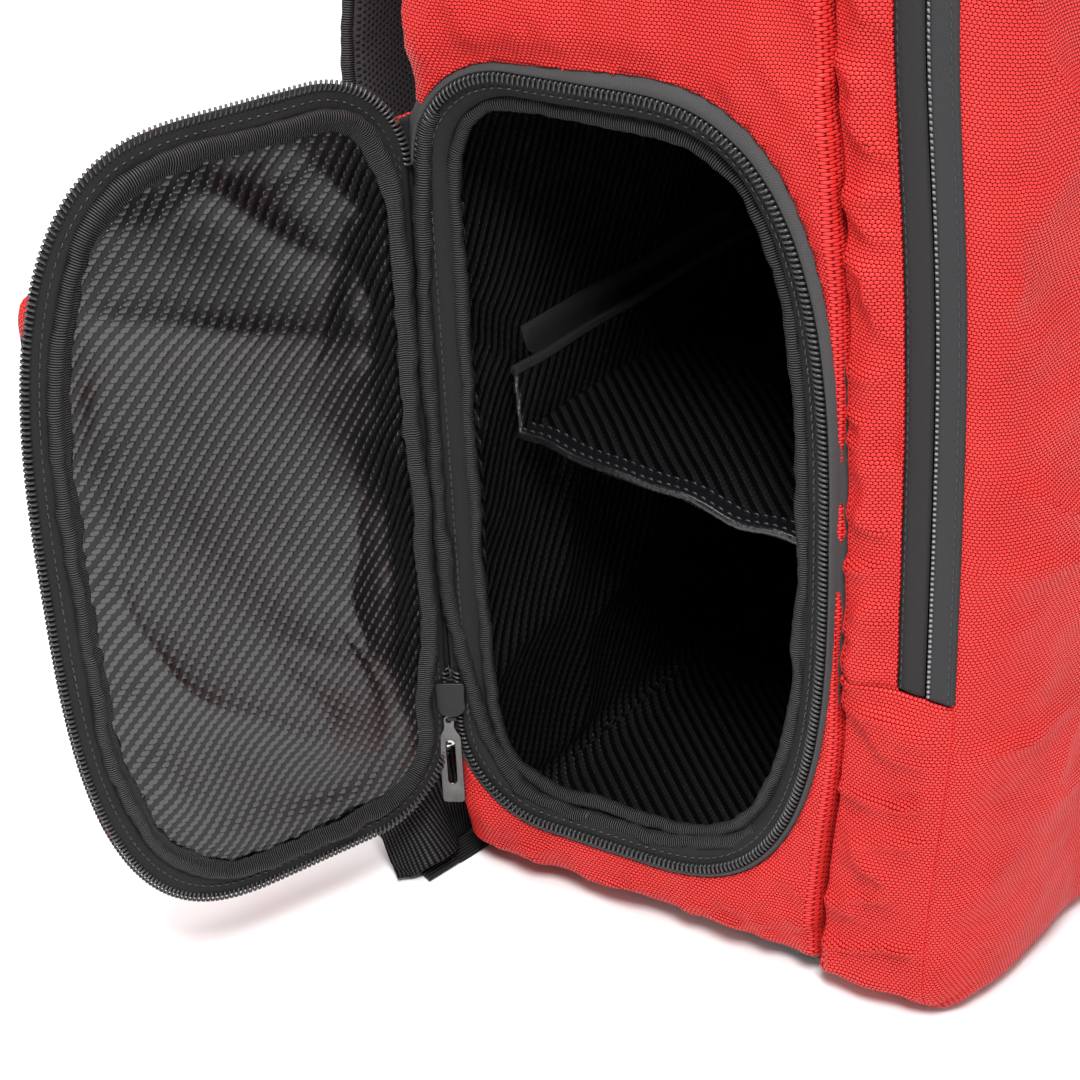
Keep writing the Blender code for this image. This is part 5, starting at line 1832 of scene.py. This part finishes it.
def pull(name, node, pivot, axes, width, length, thick):
    """A zip pull hanging from its pivot: narrow neck with a ring, shoulders and a slotted blade."""
    x, y, z = axes
    neck = width * 0.24
    shoulder = -length * 0.13
    full = -length * 0.20
    corner = width * 0.20
    half = width / 2
    loop = arc_points((0.0, -0.0004), neck * 1.05, 0, 180, 12)
    loop += [(-neck, shoulder * 0.7)]
    loop += [(-neck - (half - neck) * 0.25, shoulder), (-half + corner * 0.3, full * 0.92)]
    loop += [(-half, full - corner * 0.3)]
    loop += arc_points((-half + corner, -length + corner), corner, 180, 270)
    loop += arc_points((half - corner, -length + corner), corner, 270, 360)
    loop += [(half, full - corner * 0.3), (half - corner * 0.3, full * 0.92)]
    loop += [(neck + (half - neck) * 0.25, shoulder), (neck, shoulder * 0.7)]
    slot_length = length * 0.52
    slot = slot_outline(width * 0.39, slot_length, (0.0, full - length * 0.05 - slot_length / 2))
    hole = slot_outline(neck * 0.9, neck * 0.9 + 0.0002, (0.0, -0.0004))
    matrix = frame_matrix(x, y, z, pivot)
    blade = plate(name, loop, (slot, hole), thick, thick * 0.28, STEEL, matrix)
    dress(blade, node, "satin_steel", node)


def boot_slider(side, origin, axes):
    """The boot zip's slider: a broad smooth cap with a round lower end over the two plates."""
    name = side.name
    body = name + "_zip_slider"
    x, y, z = axes
    layers = (("plate", 0.0008, 0.0014, (0.0125, 0.0190)), ("core", 0.0024, 0.0022, (0.0060, 0.0150)),
              ("cap", 0.0046, 0.0024, (0.0148, 0.0192)))
    for part, level, thick, size in layers:
        outline = slider_outline(*size, top=0.0014, bottom=0.0068 if part == "cap" else 0.0028)
        middle = Vector(origin) + Vector(z) * level
        piece = plate(f"{name}_slider_{part}", outline, (), thick, min(0.0007, thick * 0.4), PLASTIC,
                      frame_matrix(x, y, z, middle))
        dress(piece, body, "black_acetal", body)
    hook = ((-0.0070, 0.0026), (-0.0100, 0.0030), (-0.0118, 0.0038), (-0.0112, 0.0050))
    lug = [(Vector(origin) + Vector(y) * b + Vector(z) * c)[:] for b, c in hook]
    piece = swept(name + "_slider_lug", curved(lug, 20), x, rounded_section(0.0046, 0.0016, 0.0007), PLASTIC)
    dress(piece, body, "black_acetal", body)


def door_hardware(side):
    """The slider and pull of the door's zip, and of the pocket's zip."""
    name = side.name
    along, out = side.mouth
    up = np.array([0.0, 0.0, 1.0])
    twist = 0.25 * DOOR_OPEN[name]
    c, s = math.cos(twist), math.sin(twist)
    along, out = along * c - out * s, out * c + along * s
    origin = side.place("mouth", -0.0005, SLIDER_UP, 0.0012)
    boot_slider(side, origin, (along, up, out))
    pivot = np.array(JOINTS[name + "_zip_pull_swing"]["pos_m"])
    pull(name + "_pull", name + "_zip_pull", pivot, (along, up, out), *BOOT_PULL)
    along, out = side.door
    origin = side.place("door", POCKET_A[1] + 0.0022, POCKET_SLIDER_UP, POCKET_ZIP_N)
    axes = (out, up, along)
    slider(name + "_pocket_runner", name + "_pocket_slider", origin, axes, POCKET_SLIDER)
    pivot = np.array(JOINTS[name + "_pocket_pull_swing"]["pos_m"])
    pull(name + "_pocket_tag", name + "_pocket_pull", pivot, axes, *POCKET_PULL)


# ---- camera, light and floor --------------------------------------------------------------------
CAMERA_PLACE = (-0.99, -0.508, 0.763)
CAMERA_LENS = 83.3              # mm, on a 36 mm wide sensor
ROOM_LIGHT = 0.16
LIGHTS = (("key", (-1.25, -0.75, 2.0), (-0.1, 0.0, 0.2), (0.6, 0.6), 62.0),
          ("top", (-0.3, 0.3, 2.5), (-0.3, 0.1, 0.0), (1.8, 1.8), 95.0),
          ("front", (0.9, -1.9, 1.0), (0.0, 0.0, 0.25), (0.5, 1.2), 12.0),
          ("side", (-1.9, 1.1, 1.0), (-0.3, 0.15, 0.25), (0.4, 1.3), 8.0))
FLOOR_REACH = 12.0
FLOOR_LEVEL = -0.0003           # just under the base, so that the two don't touch


def make_camera():
    """The viewing angle: turned 51.7 degrees to the bag's left, 29.5 down, with a slight roll."""
    turn, down, roll = math.radians(-51.7), math.radians(29.5), math.radians(2.97)
    ahead = Vector((-math.sin(turn) * math.cos(down), math.cos(turn) * math.cos(down), -math.sin(down)))
    right = Vector((math.cos(turn), math.sin(turn), 0.0))
    below = ahead.cross(right)
    x = right * math.cos(roll) + below * math.sin(roll)
    y = right * math.sin(roll) - below * math.cos(roll)
    camera = bpy.data.objects.new("camera", bpy.data.cameras.new("camera"))
    bpy.context.scene.collection.objects.link(camera)
    matrix = Matrix((x, y, -ahead)).transposed().to_4x4()
    matrix.translation = CAMERA_PLACE
    camera.matrix_world = matrix
    camera.data.sensor_width = 36.0
    camera.data.lens = CAMERA_LENS
    camera.data.clip_start = 0.05
    bpy.context.scene.camera = camera


def area_light(name, place, target, size, power):
    lamp = bpy.data.lights.new(name, "AREA")
    lamp.shape = "RECTANGLE"
    lamp.size, lamp.size_y = size
    lamp.energy = power
    obj = bpy.data.objects.new(name, lamp)
    bpy.context.scene.collection.objects.link(obj)
    obj.location = place
    obj.rotation_mode = "QUATERNION"
    obj.rotation_quaternion = (Vector(target) - Vector(place)).to_track_quat("-Z", "Y")


def make_studio():
    world = bpy.data.worlds.new("studio")
    bpy.context.scene.world = world
    world.use_nodes = True
    background = world.node_tree.nodes["Background"]
    background.inputs["Color"].default_value = (1.0, 1.0, 1.0, 1.0)
    background.inputs["Strength"].default_value = ROOM_LIGHT
    for light in LIGHTS:
        area_light(*light)
    paper = Paint("pale_floor", roughness=0.9, specular=0.2)
    tone = paper.grain(0.8, detail=1.0)
    paper.set("Base Color", paper.mix(tone, (0.90, 0.90, 0.90), (0.92, 0.92, 0.92)))
    corners = FLOOR_REACH * np.array([[-1, -1, 0], [1, -1, 0], [1, 1, 0], [-1, 1, 0]])
    floor = make_mesh("floor", corners, [[0, 1, 2, 3]], corners[:, :2], paper.mat)
    floor.location.z = FLOOR_LEVEL


# ---- everything ---------------------------------------------------------------------------------
def main():
    make_camera()
    make_studio()
    boot_shell()
    front_gusset()
    front_panel()
    front_zip()
    lower_pocket()
    boot_lining()
    divider()
    gear_lining()
    base()
    back_padding()
    handle()
    for side in (LEFT, RIGHT):
        mouth(side)
        hinge(side)
        door(side)
        pocket(side)
        door_hardware(side)
        shoulder_strap(side)
        strap_webbing(side)
        waist_belt(side)


main()
